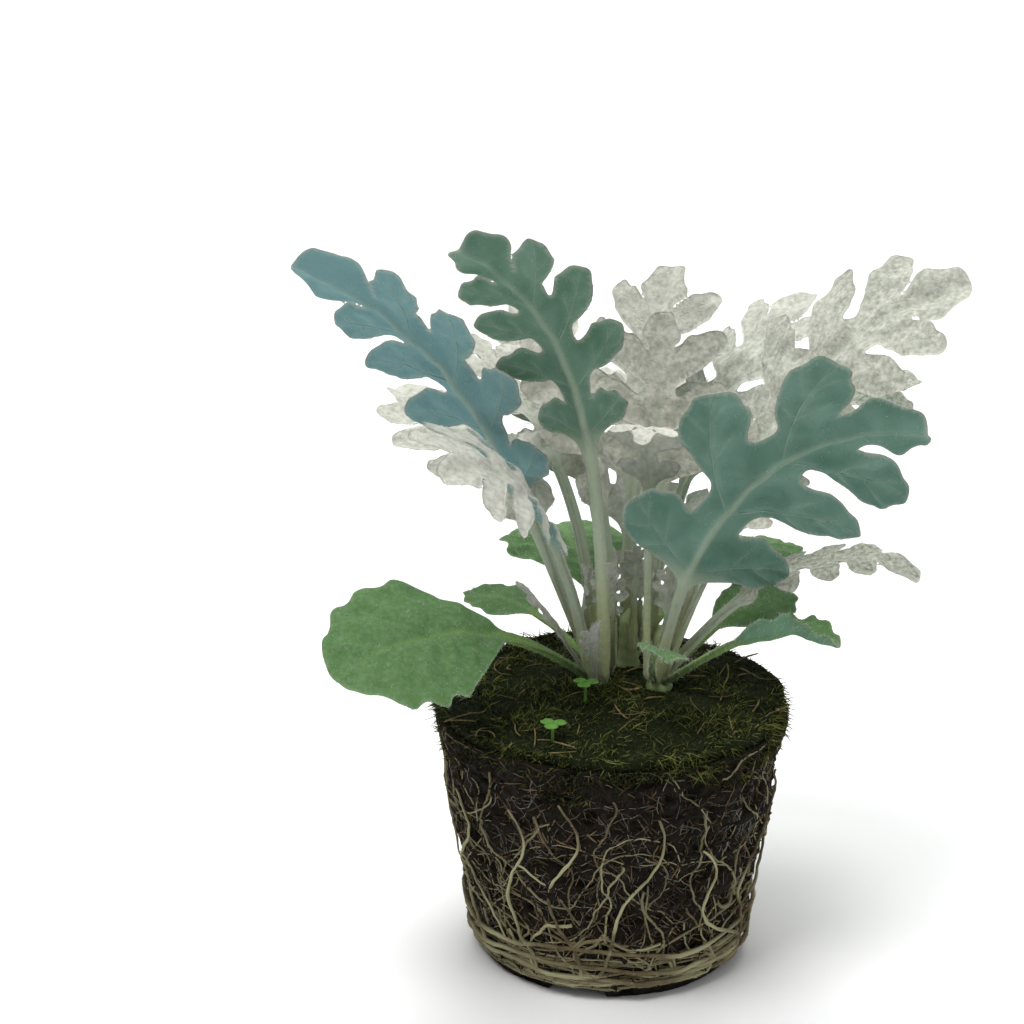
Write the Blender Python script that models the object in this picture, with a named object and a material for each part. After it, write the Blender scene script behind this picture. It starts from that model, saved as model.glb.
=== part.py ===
"""Dusty miller plant standing on its own root ball, with the moss and seedlings that grow on it.

The root ball is a plug of potting soil, held together by the roots that grew round it in a
pot that has been taken off. Three short shoots stand in plain holes in the moss, and each
carries its leaves on long grooved stalks. Metres, +Z up, origin on the table under the plug.
"""

import math
import random
from collections import namedtuple

import bmesh
import bpy
from mathutils import Matrix, Vector, noise
from mathutils.geometry import delaunay_2d_cdt

MM = 0.001
GAP = 0.3 * MM

# Root ball: a cone frustum cast by a 9 cm nursery pot
PLUG_HEIGHT = 61.5 * MM
PLUG_TOP_RADIUS = 41.5 * MM
PLUG_FOOT_RADIUS = 32.0 * MM
PLUG_EDGE_ROUND = 4.0 * MM
PLUG_SIDES = 48
PLUG_RINGS = 11
SOIL_ROUGHNESS = 1.3 * MM
FOOT_FLAT_RADIUS = 21.0 * MM
NOTCH_AZIMUTHS = (-103.0, -13.0, 77.0, 167.0)
NOTCH_HALF_ANGLE = 13.0
NOTCH_RISE = 4.0 * MM

# Roots outside the soil
ROOT_SIDES = 4
MAIN_ROOT_RADIUS = 0.85 * MM
BRANCH_ROOT_RADIUS = 0.6 * MM
HOOP_HEIGHTS = (5.2 * MM, 8.0 * MM, 12.5 * MM)
HOOP_POINTS = 24
MAIN_ROOTS = 14
BRANCH_ROOTS = 10
ROOT_SEED = 32

# Moss mat on the soil
MOSS_RADIUS = 41.2 * MM
MOSS_RIM_HEIGHT = 2.2 * MM
MOSS_MOUND = 1.4 * MM
MOSS_TUFT = 0.8 * MM
MOSS_SIDES = 40
MOSS_RINGS = 8

# Shoots: name, place on the plug, height of the stub
Shoot = namedtuple("Shoot", "name x y height")
SHOOT_RADIUS = 2.6 * MM
SHOOT_SIDES = 12
SHOOTS = {
    "left": Shoot("shoot_left", -3.0 * MM, 2.0 * MM, 19 * MM),
    "right": Shoot("shoot_right", 11.5 * MM, 1.0 * MM, 19 * MM),
    "back": Shoot("shoot_back", 4.0 * MM, 15.0 * MM, 18 * MM),
}

# Leaves
BLADE_HALF_THICKNESS = 0.36 * MM
RIB_HALF_THICKNESS = 0.95 * MM
RIB_TIP_HALF_THICKNESS = 0.42 * MM
STALK_RIM_HALF_THICKNESS = 0.5 * MM
STALK_FOOT_HALF_WIDTH = 1.7 * MM
STALK_HALF_WIDTH = 1.5 * MM
LEAF_SEAT = SHOOT_RADIUS + GAP + 0.05 * MM
LEVEL_STEP = 3.0 * MM
LOWEST_LEAF = 68.2 * MM
INWARD_PULL = 0.6

# One row for each leaf. base is the azimuth of its foot on the shoot and level its storey;
# tip is in mm; rise and droop are the slopes of the rib at its foot and at its tip;
# blade and half are the blade's length and half width in mm; roll turns the blade about its
# rib, fold lifts the two halves, curl bends their margins, all in degrees.
Leaf = namedtuple("Leaf", "name kind shoot base level tip rise droop blade half roll fold curl")
LEAVES = [
    Leaf("leaf_long_left", "silver", "left", 168, 2, (-72, -12, 169), 68, 24, 78, 17, 44, 12, -18),
    Leaf("leaf_white_left", "silver", "left", -136, 1, (-37, -39, 127), 76, -14, 48, 20, -30, 6, -12),
    Leaf("leaf_young_left", "silver", "left", 112, 3, (-37, 29, 144), 82, 30, 38, 12, 0, 12, -10),
    Leaf("leaf_feather", "silver", "left", 40, 3, (-20, 15, 157), 86, 62, 52, 15.5, 8, 6, -24),
    Leaf("leaf_spike", "silver", "left", -72, 3, (-34, -29, 176), 84, 26, 62, 15, 46, 18, -12),
    Leaf("leaf_green_left", "broad", "left", -150, 0, (-62, -40, 82), 40, -18, 48, 19, -26, 4, -10),
    Leaf("leaf_baby_left", "silver", "left", 163, 0, (-23, 0, 91), 56, 40, 19, 6, 0, 10, -20),
    Leaf("leaf_baby_front", "silver", "left", -100, 0, (-4, -13, 86), 60, 60, 12, 3.6, 40, 24, 10),
    Leaf("leaf_back_left", "silver", "left", 118, 1, (-56, 46, 126), 60, 10, 54, 18, 0, 8, -16),
    Leaf("leaf_low_left", "broad", "left", 116, 0, (-36, 30, 79), 30, 0, 22, 9, 0, 6, -10),
    Leaf("leaf_big_right", "silver", "right", -84, 2, (66, -38, 139), 72, 2, 76, 25, -58, 8, -12),
    Leaf("leaf_oak", "silver", "right", 122, 3, (11, 13, 154), 86, 74, 40, 15, 0, 6, -14),
    Leaf("leaf_curled", "silver", "right", -150, 3, (6, -17, 130), 88, -34, 24, 9, 0, 10, -12),
    Leaf("leaf_grey_right", "silver", "right", 22, 3, (80, 2, 163), 72, 16, 70, 21, 34, 8, -12),
    Leaf("leaf_dark_right", "silver", "right", 80, 2, (73, 30, 134), 62, 0, 54, 17, 10, 8, -16),
    Leaf("leaf_green_right", "silver", "right", 6, 1, (70, -9, 96), 54, -34, 46, 9, 8, 10, -16),
    Leaf("leaf_low_right", "broad", "right", -52, 0, (51, -26, 86), 38, -18, 28, 8, -12, 14, 10),
    Leaf("leaf_small_right", "silver", "right", -32, 2, (45, 3, 112), 70, 0, 24, 7.5, 0, 8, -16),
    Leaf("leaf_round_right", "broad", "right", 44, 0, (44, 22, 82), 32, -8, 24, 11, 4, 8, -12),
    Leaf("leaf_front_right", "broad", "right", -116, 0, (12, -30, 83), 38, -10, 14, 6, 0, 10, -12),
    Leaf("leaf_back_tall", "silver", "back", 92, 3, (14, 38, 160), 86, 50, 54, 19, 0, 8, -16),
    Leaf("leaf_back_mid", "silver", "back", 150, 2, (-26, 54, 148), 76, 26, 54, 19, 0, 8, -16),
    Leaf("leaf_back_fan", "silver", "back", 22, 2, (48, 44, 152), 74, 26, 56, 19, 0, 8, -16),
    Leaf("leaf_back_far", "silver", "back", 100, 1, (10, 76, 126), 62, 2, 56, 20, 0, 8, -16),
    Leaf("leaf_back_low", "broad", "back", 134, 0, (-16, 74, 82), 36, -14, 44, 18, 0, 6, -16),
    Leaf("leaf_back_right", "silver", "back", 34, 1, (56, 60, 114), 56, 0, 50, 17, 0, 8, -16),
    Leaf("leaf_back_green", "broad", "back", 60, 0, (46, 66, 80), 34, -12, 36, 15, 0, 6, -16),
]

SEEDLINGS = (("seedling_crown", -6.0, -11.0, 4.2), ("seedling_rim", -13.0, -31.0, 3.6))

COLOURS = {
    "soil": (0.035, 0.022, 0.015),
    "root": (0.46, 0.40, 0.27),
    "moss": (0.045, 0.06, 0.018),
    "stalk": (0.42, 0.50, 0.34),
    "felt": (0.62, 0.66, 0.60),
    "green_leaf": (0.20, 0.33, 0.14),
    "seedling": (0.16, 0.36, 0.08),
}


def material(name):
    """One Principled material for each finish."""
    found = bpy.data.materials.get(name)
    if found:
        return found
    made = bpy.data.materials.new(name)
    made.use_nodes = True
    shader = made.node_tree.nodes["Principled BSDF"]
    shader.inputs["Base Color"].default_value = (*COLOURS[name], 1.0)
    shader.inputs["Roughness"].default_value = 0.9
    shader.inputs["Metallic"].default_value = 0.0
    return made


def add_object(name, mesh, finish):
    """Links a mesh to the scene as one sub-part."""
    mesh.materials.append(material(finish))
    mesh.shade_smooth()
    mesh.set_sharp_from_angle(angle=math.radians(45))
    made = bpy.data.objects.new(name, mesh)
    bpy.context.scene.collection.objects.link(made)
    return made


def mesh_from(name, points, faces):
    """A mesh with its faces turned outwards."""
    mesh = bpy.data.meshes.new(name)
    mesh.from_pydata(points, [], faces)
    shape = bmesh.new()
    shape.from_mesh(mesh)
    bmesh.ops.recalc_face_normals(shape, faces=shape.faces)
    shape.to_mesh(mesh)
    shape.free()
    return mesh


def polar(radius, azimuth, z):
    """The point at a radius and an azimuth in degrees round the plug's axis."""
    turn = math.radians(azimuth)
    return Vector((radius * math.cos(turn), radius * math.sin(turn), z))


def plug_radius(z):
    """Radius of the smooth plug at a height, with its foot rounded off."""
    share = min(1.0, max(0.0, z / PLUG_HEIGHT))
    cone = PLUG_FOOT_RADIUS + (PLUG_TOP_RADIUS - PLUG_FOOT_RADIUS) * share
    if z < PLUG_EDGE_ROUND:
        drop = PLUG_EDGE_ROUND - z
        cone -= PLUG_EDGE_ROUND - math.sqrt(max(0.0, PLUG_EDGE_ROUND**2 - drop**2))
    return cone


def in_notch(azimuth):
    """How deep an azimuth is in one of the notches that the pot's ribs left, from 0 to 1."""
    away = min(abs((azimuth - a + 180.0) % 360.0 - 180.0) for a in NOTCH_AZIMUTHS)
    return max(0.0, 1.0 - away / NOTCH_HALF_ANGLE)


def build_root_ball():
    """The soil plug: rings up its side, pitted inwards, closed by a flat foot and a flat top."""
    levels = [PLUG_HEIGHT * (i / PLUG_RINGS) ** 1.15 for i in range(PLUG_RINGS + 1)]
    points = []
    for level, z in enumerate(levels):
        for i in range(PLUG_SIDES):
            azimuth = 360.0 * i / PLUG_SIDES
            spot = polar(plug_radius(z), azimuth, z)
            pit = SOIL_ROUGHNESS * (0.5 + 0.5 * noise.noise(spot / (5.0 * MM)))
            lift = NOTCH_RISE * min(1.0, 2.0 * in_notch(azimuth)) if level == 0 else 0.0
            points.append(polar(plug_radius(max(z, 1.2 * MM)) - pit, azimuth, z + lift * 0.85))
    faces = []
    for level in range(len(levels) - 1):
        for i in range(PLUG_SIDES):
            a = level * PLUG_SIDES + i
            b = level * PLUG_SIDES + (i + 1) % PLUG_SIDES
            faces.append((a, b, b + PLUG_SIDES, a + PLUG_SIDES))
    foot = len(points)
    points += [polar(FOOT_FLAT_RADIUS, 360.0 * i / PLUG_SIDES, 0.0) for i in range(PLUG_SIDES)]
    centre_low, centre_high = len(points), len(points) + 1
    points += [Vector((0, 0, 0)), Vector((0, 0, PLUG_HEIGHT))]
    last = (len(levels) - 1) * PLUG_SIDES
    for i in range(PLUG_SIDES):
        j = (i + 1) % PLUG_SIDES
        faces.append((foot + i, foot + j, j, i))
        faces.append((centre_low, foot + j, foot + i))
        faces.append((centre_high, last + i, last + j))
    add_object("root_ball", mesh_from("root_ball", points, faces), "soil")


def tube(name, path, radius, closed=False, tip=0.45):
    """A root: a few-sided tube along a path, thinner at its far end unless it is a hoop."""
    points, faces = [], []
    count = len(path)
    for i, spot in enumerate(path):
        before = path[i - 1] if i or closed else spot
        after = path[(i + 1) % count] if i < count - 1 or closed else spot
        along = (after - before).normalized()
        outward = Vector((spot.x, spot.y, 0.0)).normalized()
        across = along.cross(outward).normalized()
        outward = across.cross(along)
        thick = radius * (1.0 if closed else 1.0 - (1.0 - tip) * i / (count - 1))
        for k in range(ROOT_SIDES):
            turn = 2.0 * math.pi * (k + 0.5) / ROOT_SIDES
            points.append(spot + thick * (math.cos(turn) * outward + math.sin(turn) * across))
    for i in range(count if closed else count - 1):
        for k in range(ROOT_SIDES):
            a, b = i * ROOT_SIDES + k, i * ROOT_SIDES + (k + 1) % ROOT_SIDES
            c, d = (b + ROOT_SIDES) % len(points), (a + ROOT_SIDES) % len(points)
            faces.append((a, b, c, d))
    if not closed:
        faces.append(tuple(range(ROOT_SIDES))[::-1])
        faces.append(tuple(range(len(points) - ROOT_SIDES, len(points))))
    return bpy.data.objects.new(name, mesh_from(name, points, faces))


def root_spot(azimuth, z):
    """A point just outside the soil for the middle of a root."""
    return polar(plug_radius(z) + GAP + MAIN_ROOT_RADIUS, azimuth, z)


def root_paths():
    """Hoops round the foot, main roots that wander down to them, and branches off the mains."""
    draw = random.Random(ROOT_SEED)
    hoops = []
    for level, height in enumerate(HOOP_HEIGHTS):
        hoop = []
        for i in range(HOOP_POINTS):
            azimuth = 360.0 * i / HOOP_POINTS
            wave = 1.3 * MM * math.sin(math.radians(azimuth * (2 + level) + 70 * level))
            hoop.append(root_spot(azimuth, height + wave))
        hoops.append(hoop)
    mains, branches = [], []
    for n in range(MAIN_ROOTS):
        azimuth = 360.0 * n / MAIN_ROOTS + draw.uniform(-5, 5)
        top = draw.uniform(0.62, 0.9) * PLUG_HEIGHT
        drift = draw.uniform(-34, 34)
        sway = draw.uniform(3, 7)
        steps = 9
        path, angles = [], []
        for i in range(steps + 1):
            share = i / steps
            angle = azimuth + drift * share**2 + sway * math.sin(2.6 * math.pi * share)
            z = top + (HOOP_HEIGHTS[0] - top) * share
            angles.append((angle, z))
            path.append(root_spot(angle, z))
        mains.append(path)
        if n < BRANCH_ROOTS:
            angle, z = angles[draw.choice((2, 3, 4, 5))]
            side = draw.choice((-1, 1))
            reach = draw.uniform(18, 30)
            fall = draw.uniform(6, 16) * MM
            branches.append([
                root_spot(angle + side * reach * i / 5, z - fall * (i / 5) ** 1.4) for i in range(6)
            ])
    return hoops, mains, branches


def build_roots():
    """All the outer roots as one net, joined where they cross."""
    hoops, mains, branches = root_paths()
    strands = bpy.data.collections.new("root_strands")
    bpy.context.scene.collection.children.link(strands)
    first = tube("roots", hoops[0], MAIN_ROOT_RADIUS * 1.25, closed=True)
    bpy.context.scene.collection.objects.link(first)
    for hoop in hoops[1:]:
        strands.objects.link(tube("root_hoop", hoop, MAIN_ROOT_RADIUS * 1.1, closed=True))
    for path in mains:
        strands.objects.link(tube("root_main", path[::-1], MAIN_ROOT_RADIUS, tip=0.6))
    for path in branches:
        strands.objects.link(tube("root_branch", path, BRANCH_ROOT_RADIUS, tip=0.6))
    join = first.modifiers.new("join", "BOOLEAN")
    join.operation = "UNION"
    join.operand_type = "COLLECTION"
    join.collection = strands
    join.solver = "EXACT"
    bpy.context.view_layer.update()
    graph = bpy.context.evaluated_depsgraph_get()
    joined = bpy.data.meshes.new_from_object(first.evaluated_get(graph))
    for strand in list(strands.objects):
        bpy.data.objects.remove(strand)
    bpy.data.collections.remove(strands)
    bpy.data.objects.remove(first)
    joined.materials.clear()
    add_object("roots", joined, "root")


def moss_height(x, y):
    """Top of the moss mat: a low mound with tufts."""
    share = min(1.0, math.hypot(x, y) / MOSS_RADIUS)
    mound = MOSS_RIM_HEIGHT + MOSS_MOUND * (1.0 - share**2)
    tuft = MOSS_TUFT * noise.noise(Vector((x, y, 0.0)) / (4.0 * MM))
    return PLUG_HEIGHT + GAP + mound + tuft


def cylinder_cutter(shoot):
    """The plain hole that a shoot stands in."""
    shape = bmesh.new()
    bmesh.ops.create_cone(
        shape, cap_ends=True, segments=SHOOT_SIDES,
        radius1=SHOOT_RADIUS + 2 * GAP, radius2=SHOOT_RADIUS + 2 * GAP, depth=30 * MM,
        matrix=Matrix.Translation((shoot.x, shoot.y, PLUG_HEIGHT + 3 * MM)),
    )
    mesh = bpy.data.meshes.new("hole")
    shape.to_mesh(mesh)
    shape.free()
    cutter = bpy.data.objects.new("hole", mesh)
    cutter.hide_render = True
    cutter.display_type = "WIRE"
    bpy.context.scene.collection.objects.link(cutter)
    return cutter


def build_moss():
    """The moss mat, lying on the soil, with a plain hole for each shoot."""
    points = [Vector((0, 0, moss_height(0, 0))), Vector((0, 0, PLUG_HEIGHT + GAP))]
    for ring in range(1, MOSS_RINGS + 1):
        radius = MOSS_RADIUS * math.sin(0.5 * math.pi * ring / MOSS_RINGS)
        for i in range(MOSS_SIDES):
            spot = polar(radius, 360.0 * (i + 0.5 * (ring % 2)) / MOSS_SIDES, 0)
            points.append(Vector((spot.x, spot.y, moss_height(spot.x, spot.y))))
    base = len(points)
    for i in range(MOSS_SIDES):
        edge = polar(MOSS_RADIUS - 0.8 * MM, 360.0 * (i + 0.5 * (MOSS_RINGS % 2)) / MOSS_SIDES, 0)
        points.append(Vector((edge.x, edge.y, PLUG_HEIGHT + GAP)))
    faces = []
    for i in range(MOSS_SIDES):
        j = (i + 1) % MOSS_SIDES
        faces.append((0, 2 + i, 2 + j))
        faces.append((1, base + j, base + i))
        outer = 2 + (MOSS_RINGS - 1) * MOSS_SIDES
        faces.append((outer + i, base + i, base + j, outer + j))
        for ring in range(MOSS_RINGS - 1):
            a, b = 2 + ring * MOSS_SIDES + i, 2 + ring * MOSS_SIDES + j
            c, d = b + MOSS_SIDES, a + MOSS_SIDES
            if ring % 2:
                faces += [(a, c, b), (a, d, c)]
            else:
                faces += [(a, d, b), (b, d, c)]
    moss = add_object("moss_mat", mesh_from("moss_mat", points, faces), "moss")
    for shoot in SHOOTS.values():
        hole = moss.modifiers.new("hole", "BOOLEAN")
        hole.operation = "DIFFERENCE"
        hole.object = cylinder_cutter(shoot)


def build_shoot(shoot):
    """A short stout stem with a blunt growing tip, standing on the soil."""
    foot = PLUG_HEIGHT + GAP
    profile = [(1.0, 0.0), (1.0, 0.45), (1.0, 0.86), (0.8, 0.94), (0.45, 0.98)]
    points, faces = [], []
    for wide, high in profile:
        for i in range(SHOOT_SIDES):
            turn = 2.0 * math.pi * i / SHOOT_SIDES
            points.append(Vector((
                shoot.x + SHOOT_RADIUS * wide * math.cos(turn),
                shoot.y + SHOOT_RADIUS * wide * math.sin(turn),
                foot + shoot.height * high,
            )))
    for level in range(len(profile) - 1):
        for i in range(SHOOT_SIDES):
            a, b = level * SHOOT_SIDES + i, level * SHOOT_SIDES + (i + 1) % SHOOT_SIDES
            faces.append((a, b, b + SHOOT_SIDES, a + SHOOT_SIDES))
    low, high = len(points), len(points) + 1
    points += [Vector((shoot.x, shoot.y, foot)), Vector((shoot.x, shoot.y, foot + shoot.height))]
    top = (len(profile) - 1) * SHOOT_SIDES
    for i in range(SHOOT_SIDES):
        j = (i + 1) % SHOOT_SIDES
        faces += [(low, j, i), (high, top + i, top + j)]
    add_object(shoot.name, mesh_from(shoot.name, points, faces), "stalk")


class Rib:
    """A leaf's centre line: a cubic curve from its seat on the shoot to its tip, by length."""

    STEPS = 64

    def __init__(self, leaf):
        shoot = SHOOTS[leaf.shoot]
        seat = LEAF_SEAT + STALK_RIM_HALF_THICKNESS * math.sin(math.radians(leaf.rise))
        foot = Vector((shoot.x, shoot.y, LOWEST_LEAF + LEVEL_STEP * leaf.level))
        foot += polar(seat, leaf.base, 0.0)
        tip = Vector(leaf.tip) * MM
        span = tip - foot
        self.outward = Vector((span.x, span.y, 0.0)).normalized()
        self.seat_outward = polar(1.0, leaf.base, 0.0)
        start = polar(math.cos(math.radians(leaf.rise)), leaf.base, 0.0)
        start = (start + self.outward * math.cos(math.radians(leaf.rise))) * 0.5
        start.z = math.sin(math.radians(leaf.rise))
        start.normalize()
        end = self.outward * math.cos(math.radians(leaf.droop))
        end.z = math.sin(math.radians(leaf.droop))
        near, far = foot + start * span.length * 0.45, tip - end * span.length * 0.36
        self.spots = []
        for i in range(self.STEPS + 1):
            t = i / self.STEPS
            s = 1.0 - t
            self.spots.append(s**3 * foot + 3 * s * s * t * near + 3 * s * t * t * far + t**3 * tip)
        self.marks = [0.0]
        for a, b in zip(self.spots, self.spots[1:]):
            self.marks.append(self.marks[-1] + (b - a).length)
        self.length = self.marks[-1]
        self.leaf = leaf
        self.blade_start = max(self.length - leaf.blade * MM, 0.12 * self.length)

    def at(self, u):
        """The point and the direction of the rib at a length from its foot."""
        u = min(max(u, 0.0), self.length)
        i = 0
        while i < self.STEPS - 1 and self.marks[i + 1] < u:
            i += 1
        share = (u - self.marks[i]) / (self.marks[i + 1] - self.marks[i])
        here = self.spots[i].lerp(self.spots[i + 1], share)
        before = self.spots[max(i - 1, 0)]
        after = self.spots[min(i + 2, self.STEPS)]
        return here, (after - before).normalized()

    def frame(self, u):
        """The rib's point, its direction, and the blade's side and upper directions there."""
        here, along = self.at(u)
        turned = min(1.0, max(0.0, u / self.blade_start - 0.1))
        up = Vector((0, 0, 1)) - INWARD_PULL * self.seat_outward.lerp(self.outward, turned)
        up = (up - along * up.dot(along)).normalized()
        ease = min(1.0, max(0.0, (u / self.blade_start - 0.35) / 0.65))
        turn = math.radians(self.leaf.roll) * ease * ease * (3.0 - 2.0 * ease)
        up = Matrix.Rotation(turn, 3, along) @ up
        return here, along, along.cross(up), up

    def surface(self, u, v):
        """A point of the leaf: v across the rib, with the fold of the halves and their curl."""
        here, _, side, up = self.frame(u)
        ease = min(1.0, max(0.0, (u - 0.8 * self.blade_start) / (0.3 * self.blade_start)))
        width = self.leaf.half * MM
        bend = math.radians(self.leaf.fold + self.leaf.curl * abs(v) / width) * ease
        ripple = 0.05 * width * ease * (v / width) ** 2
        ripple *= math.sin(2.0 * math.pi * (u - self.blade_start) / (0.5 * width * 2.2) + (v > 0))
        return here + side * (v * math.cos(bend)) + up * (abs(v) * math.sin(bend) + ripple)


def stalk_half_width(u, rib):
    """Half width of the stalk, wide where it clasps the shoot."""
    small = min(1.0, rib.leaf.blade / 34.0)
    share = min(1.0, u / (0.3 * rib.blade_start))
    return (STALK_FOOT_HALF_WIDTH + (STALK_HALF_WIDTH - STALK_FOOT_HALF_WIDTH) * share) * max(0.5, small)


LOBE_SHAPE = (
    (0.36, -0.74), (0.70, -1.0), (0.84, -0.66), (1.00, -0.46),
    (1.00, 0.40), (0.85, 0.62), (0.74, 1.0), (0.42, 0.78),
)
LOBE_PROFILE = {3: (0.80, 1.0, 0.82), 4: (0.66, 0.98, 0.94, 0.72)}
TIP_SHAPE = ((0.80, 0.07), (0.86, 0.125), (0.915, 0.085), (0.985, 0.07))


def lobe_reaches(leaf):
    """Share of the half width that each lobe reaches: three lobes on short and on wide blades."""
    return LOBE_PROFILE[4 if leaf.blade > 45 and leaf.half < 24 else 3]


def lobes_of(leaf, blade):
    """Root, slant and reach of each lobe on one side of a lobed blade."""
    reaches = lobe_reaches(leaf)
    step = 0.76 / len(reaches)
    for n, reach in enumerate(reaches):
        slant = math.radians(62 - 18 * n / (len(reaches) - 1))
        yield blade * (0.05 + step * n), slant, leaf.half * MM * reach / math.sin(slant)


def silver_half_outline(leaf, blade):
    """One side of a deeply lobed blade, as (along, across) from its base to its tip.

    Each lobe leaves the rib at a slant, widens outwards and ends in three blunt teeth.
    """
    outline = []
    step = 0.76 / len(lobe_reaches(leaf))
    for root, slant, reach in lobes_of(leaf, blade):
        width = blade * step * 0.4
        if outline:
            outline.append((root + 0.02 * blade, 0.075 * blade))
        for out, wide in LOBE_SHAPE:
            outline.append((
                root + reach * out * math.cos(slant) + width * wide * math.sin(slant),
                reach * out * math.sin(slant) - width * wide * math.cos(slant),
            ))
    outline += [(blade * along, blade * across) for along, across in TIP_SHAPE]
    return outline


def broad_half_outline(leaf, blade):
    """One side of a spoon-shaped green blade with a few shallow round teeth."""
    outline = []
    steps = 12
    half = leaf.half * MM
    for i in range(1, steps):
        s = i / steps
        wide = half * math.sin(math.pi * s**1.25) ** 0.72
        tooth = 0.07 * half * (1.0 if i % 2 else -1.0) if s > 0.45 else 0.0
        outline.append((blade * s, wide + tooth))
    return outline


def leaf_plan(rib):
    """The leaf laid flat: its outline, the points of its rib and veins, and the edges that hold them."""
    leaf = rib.leaf
    blade = rib.length - rib.blade_start
    half_outline = silver_half_outline if leaf.kind == "silver" else broad_half_outline
    side = [(u, stalk_half_width(u, rib)) for u in
            (rib.blade_start * s for s in (0.0, 0.2, 0.45, 0.7, 0.97))]
    side += [(rib.blade_start + u, v) for u, v in half_outline(leaf, blade)]
    outline = side + [(rib.length, 0.0)] + [(u, -v) for u, v in reversed(side)]
    middle = [(u, 0.0) for u, _ in side[:5]]
    middle += [(rib.blade_start + blade * s, 0.0) for s in (0.12, 0.3, 0.48, 0.66, 0.84, 0.94)]
    middle[0] = (0.0, 0.0)
    veins = []
    if leaf.kind == "silver":
        for root, slant, reach in lobes_of(leaf, blade):
            for sign in (1, -1):
                along, across = reach * 0.6 * math.cos(slant), reach * 0.6 * math.sin(slant)
                veins.append((rib.blade_start + root + along, sign * across))
    else:
        for s in (0.35, 0.55, 0.75):
            for sign in (1, -1):
                veins.append((rib.blade_start + blade * s, sign * 0.5 * leaf.half * MM))
    return outline, middle, veins


def build_leaf(leaf):
    """One leaf, stalk and blade, as a closed solid.

    Its flat plan is cut into triangles once, and the upper and the lower face are both
    raised from those, so they run alike. The rib and the stalk are thicker than the blade.
    """
    rib = Rib(leaf)
    outline, middle, veins = leaf_plan(rib)
    flat = [Vector(p) for p in outline + middle[1:] + veins]
    ring = list(range(len(outline)))
    rib_marks = [len(outline) + i for i in range(len(middle) - 1)]
    edges = list(zip(rib_marks, rib_marks[1:]))
    plan = delaunay_2d_cdt(flat, edges, [ring], 1, 1e-7)
    spots, triangles = plan[0], [f for f in plan[2]]
    edge_uses = {}
    for face in triangles:
        for a, b in zip(face, face[1:] + face[:1]):
            key = (min(a, b), max(a, b))
            edge_uses[key] = edge_uses.get(key, 0) + 1
    rim = {i for edge, uses in edge_uses.items() if uses == 1 for i in edge}
    small = max(0.55, min(1.0, leaf.blade / 34.0))
    upper, lower = [], []
    reach = 0.25 * MM
    for i, (u, v) in enumerate(spots):
        here = rib.surface(u, v)
        along = rib.surface(min(u + reach, rib.length), v) - rib.surface(max(u - reach, 0.0), v)
        across = rib.surface(u, v + reach) - rib.surface(u, v - reach)
        normal = across.cross(along).normalized()
        share = min(1.0, max(0.0, (u - rib.blade_start) / (rib.length - rib.blade_start)))
        rim_thick = BLADE_HALF_THICKNESS if u > rib.blade_start else STALK_RIM_HALF_THICKNESS * small
        on_rib = abs(v) < 1e-6 and i not in rim
        rib_thick = RIB_HALF_THICKNESS + (RIB_TIP_HALF_THICKNESS - RIB_HALF_THICKNESS) * share
        thick = rib_thick * small * 2.0 - rim_thick if on_rib else rim_thick
        upper.append(here + normal * rim_thick)
        lower.append(here - normal * max(thick, rim_thick))
    count = len(spots)
    faces = [tuple(f) for f in triangles]
    faces += [tuple(i + count for i in reversed(f)) for f in triangles]
    for face in triangles:
        for a, b in zip(face, face[1:] + face[:1]):
            if edge_uses[(min(a, b), max(a, b))] == 1:
                faces += [(b, a, a + count), (b, a + count, b + count)]
    finish = "felt" if leaf.kind == "silver" else "green_leaf"
    add_object(leaf.name, mesh_from(leaf.name, upper + lower, faces), finish)


def build_seedling(name, x, y, height):
    """A tiny weed seedling: a stalk and a flat head of three round leaflets."""
    x, y, height = x * MM, y * MM, height * MM
    foot = moss_height(x, y) + MOSS_TUFT * 0.8 + GAP
    head, stalk, thick = 3.4 * MM, 0.45 * MM, 0.35 * MM
    rings = [(stalk, foot), (stalk, foot + height - thick)]
    sides = 18
    points, faces = [], []
    for radius, z in rings + [(None, foot + height - thick), (None, foot + height + thick)]:
        for i in range(sides):
            azimuth = 360.0 * i / sides
            lobe = head * (0.62 + 0.38 * math.cos(math.radians(3 * azimuth)))
            spot = polar(lobe if radius is None else radius, azimuth, z)
            points.append(spot + Vector((x, y, 0.0)))
    for level in range(3):
        for i in range(sides):
            a, b = level * sides + i, level * sides + (i + 1) % sides
            faces.append((a, b, b + sides, a + sides))
    low, high = len(points), len(points) + 1
    points += [Vector((x, y, foot)), Vector((x, y, foot + height + thick * 0.4))]
    for i in range(sides):
        j = (i + 1) % sides
        faces += [(low, j, i), (high, 3 * sides + i, 3 * sides + j)]
    add_object(name, mesh_from(name, points, faces), "seedling")


def main():
    """Clears the scene and builds every sub-part."""
    for old in list(bpy.data.objects):
        bpy.data.objects.remove(old)
    build_root_ball()
    build_roots()
    build_moss()
    for shoot in SHOOTS.values():
        build_shoot(shoot)
    for leaf in LEAVES:
        build_leaf(leaf)
    for seedling in SEEDLINGS:
        build_seedling(*seedling)


main()
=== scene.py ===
"""Looks for the dusty miller plant: felted leaves, root ball, moss and a plain studio.

Every leaf is raised from a flat plan (u along the rib, v across it) that is cut out of a fine
grid and bent along the same rib as the solid it stands for. Metres, +Z up.
"""

import itertools
import logging
import math
import random
from dataclasses import dataclass
from enum import Enum
from typing import ClassVar, Iterator, NamedTuple, Sequence

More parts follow.
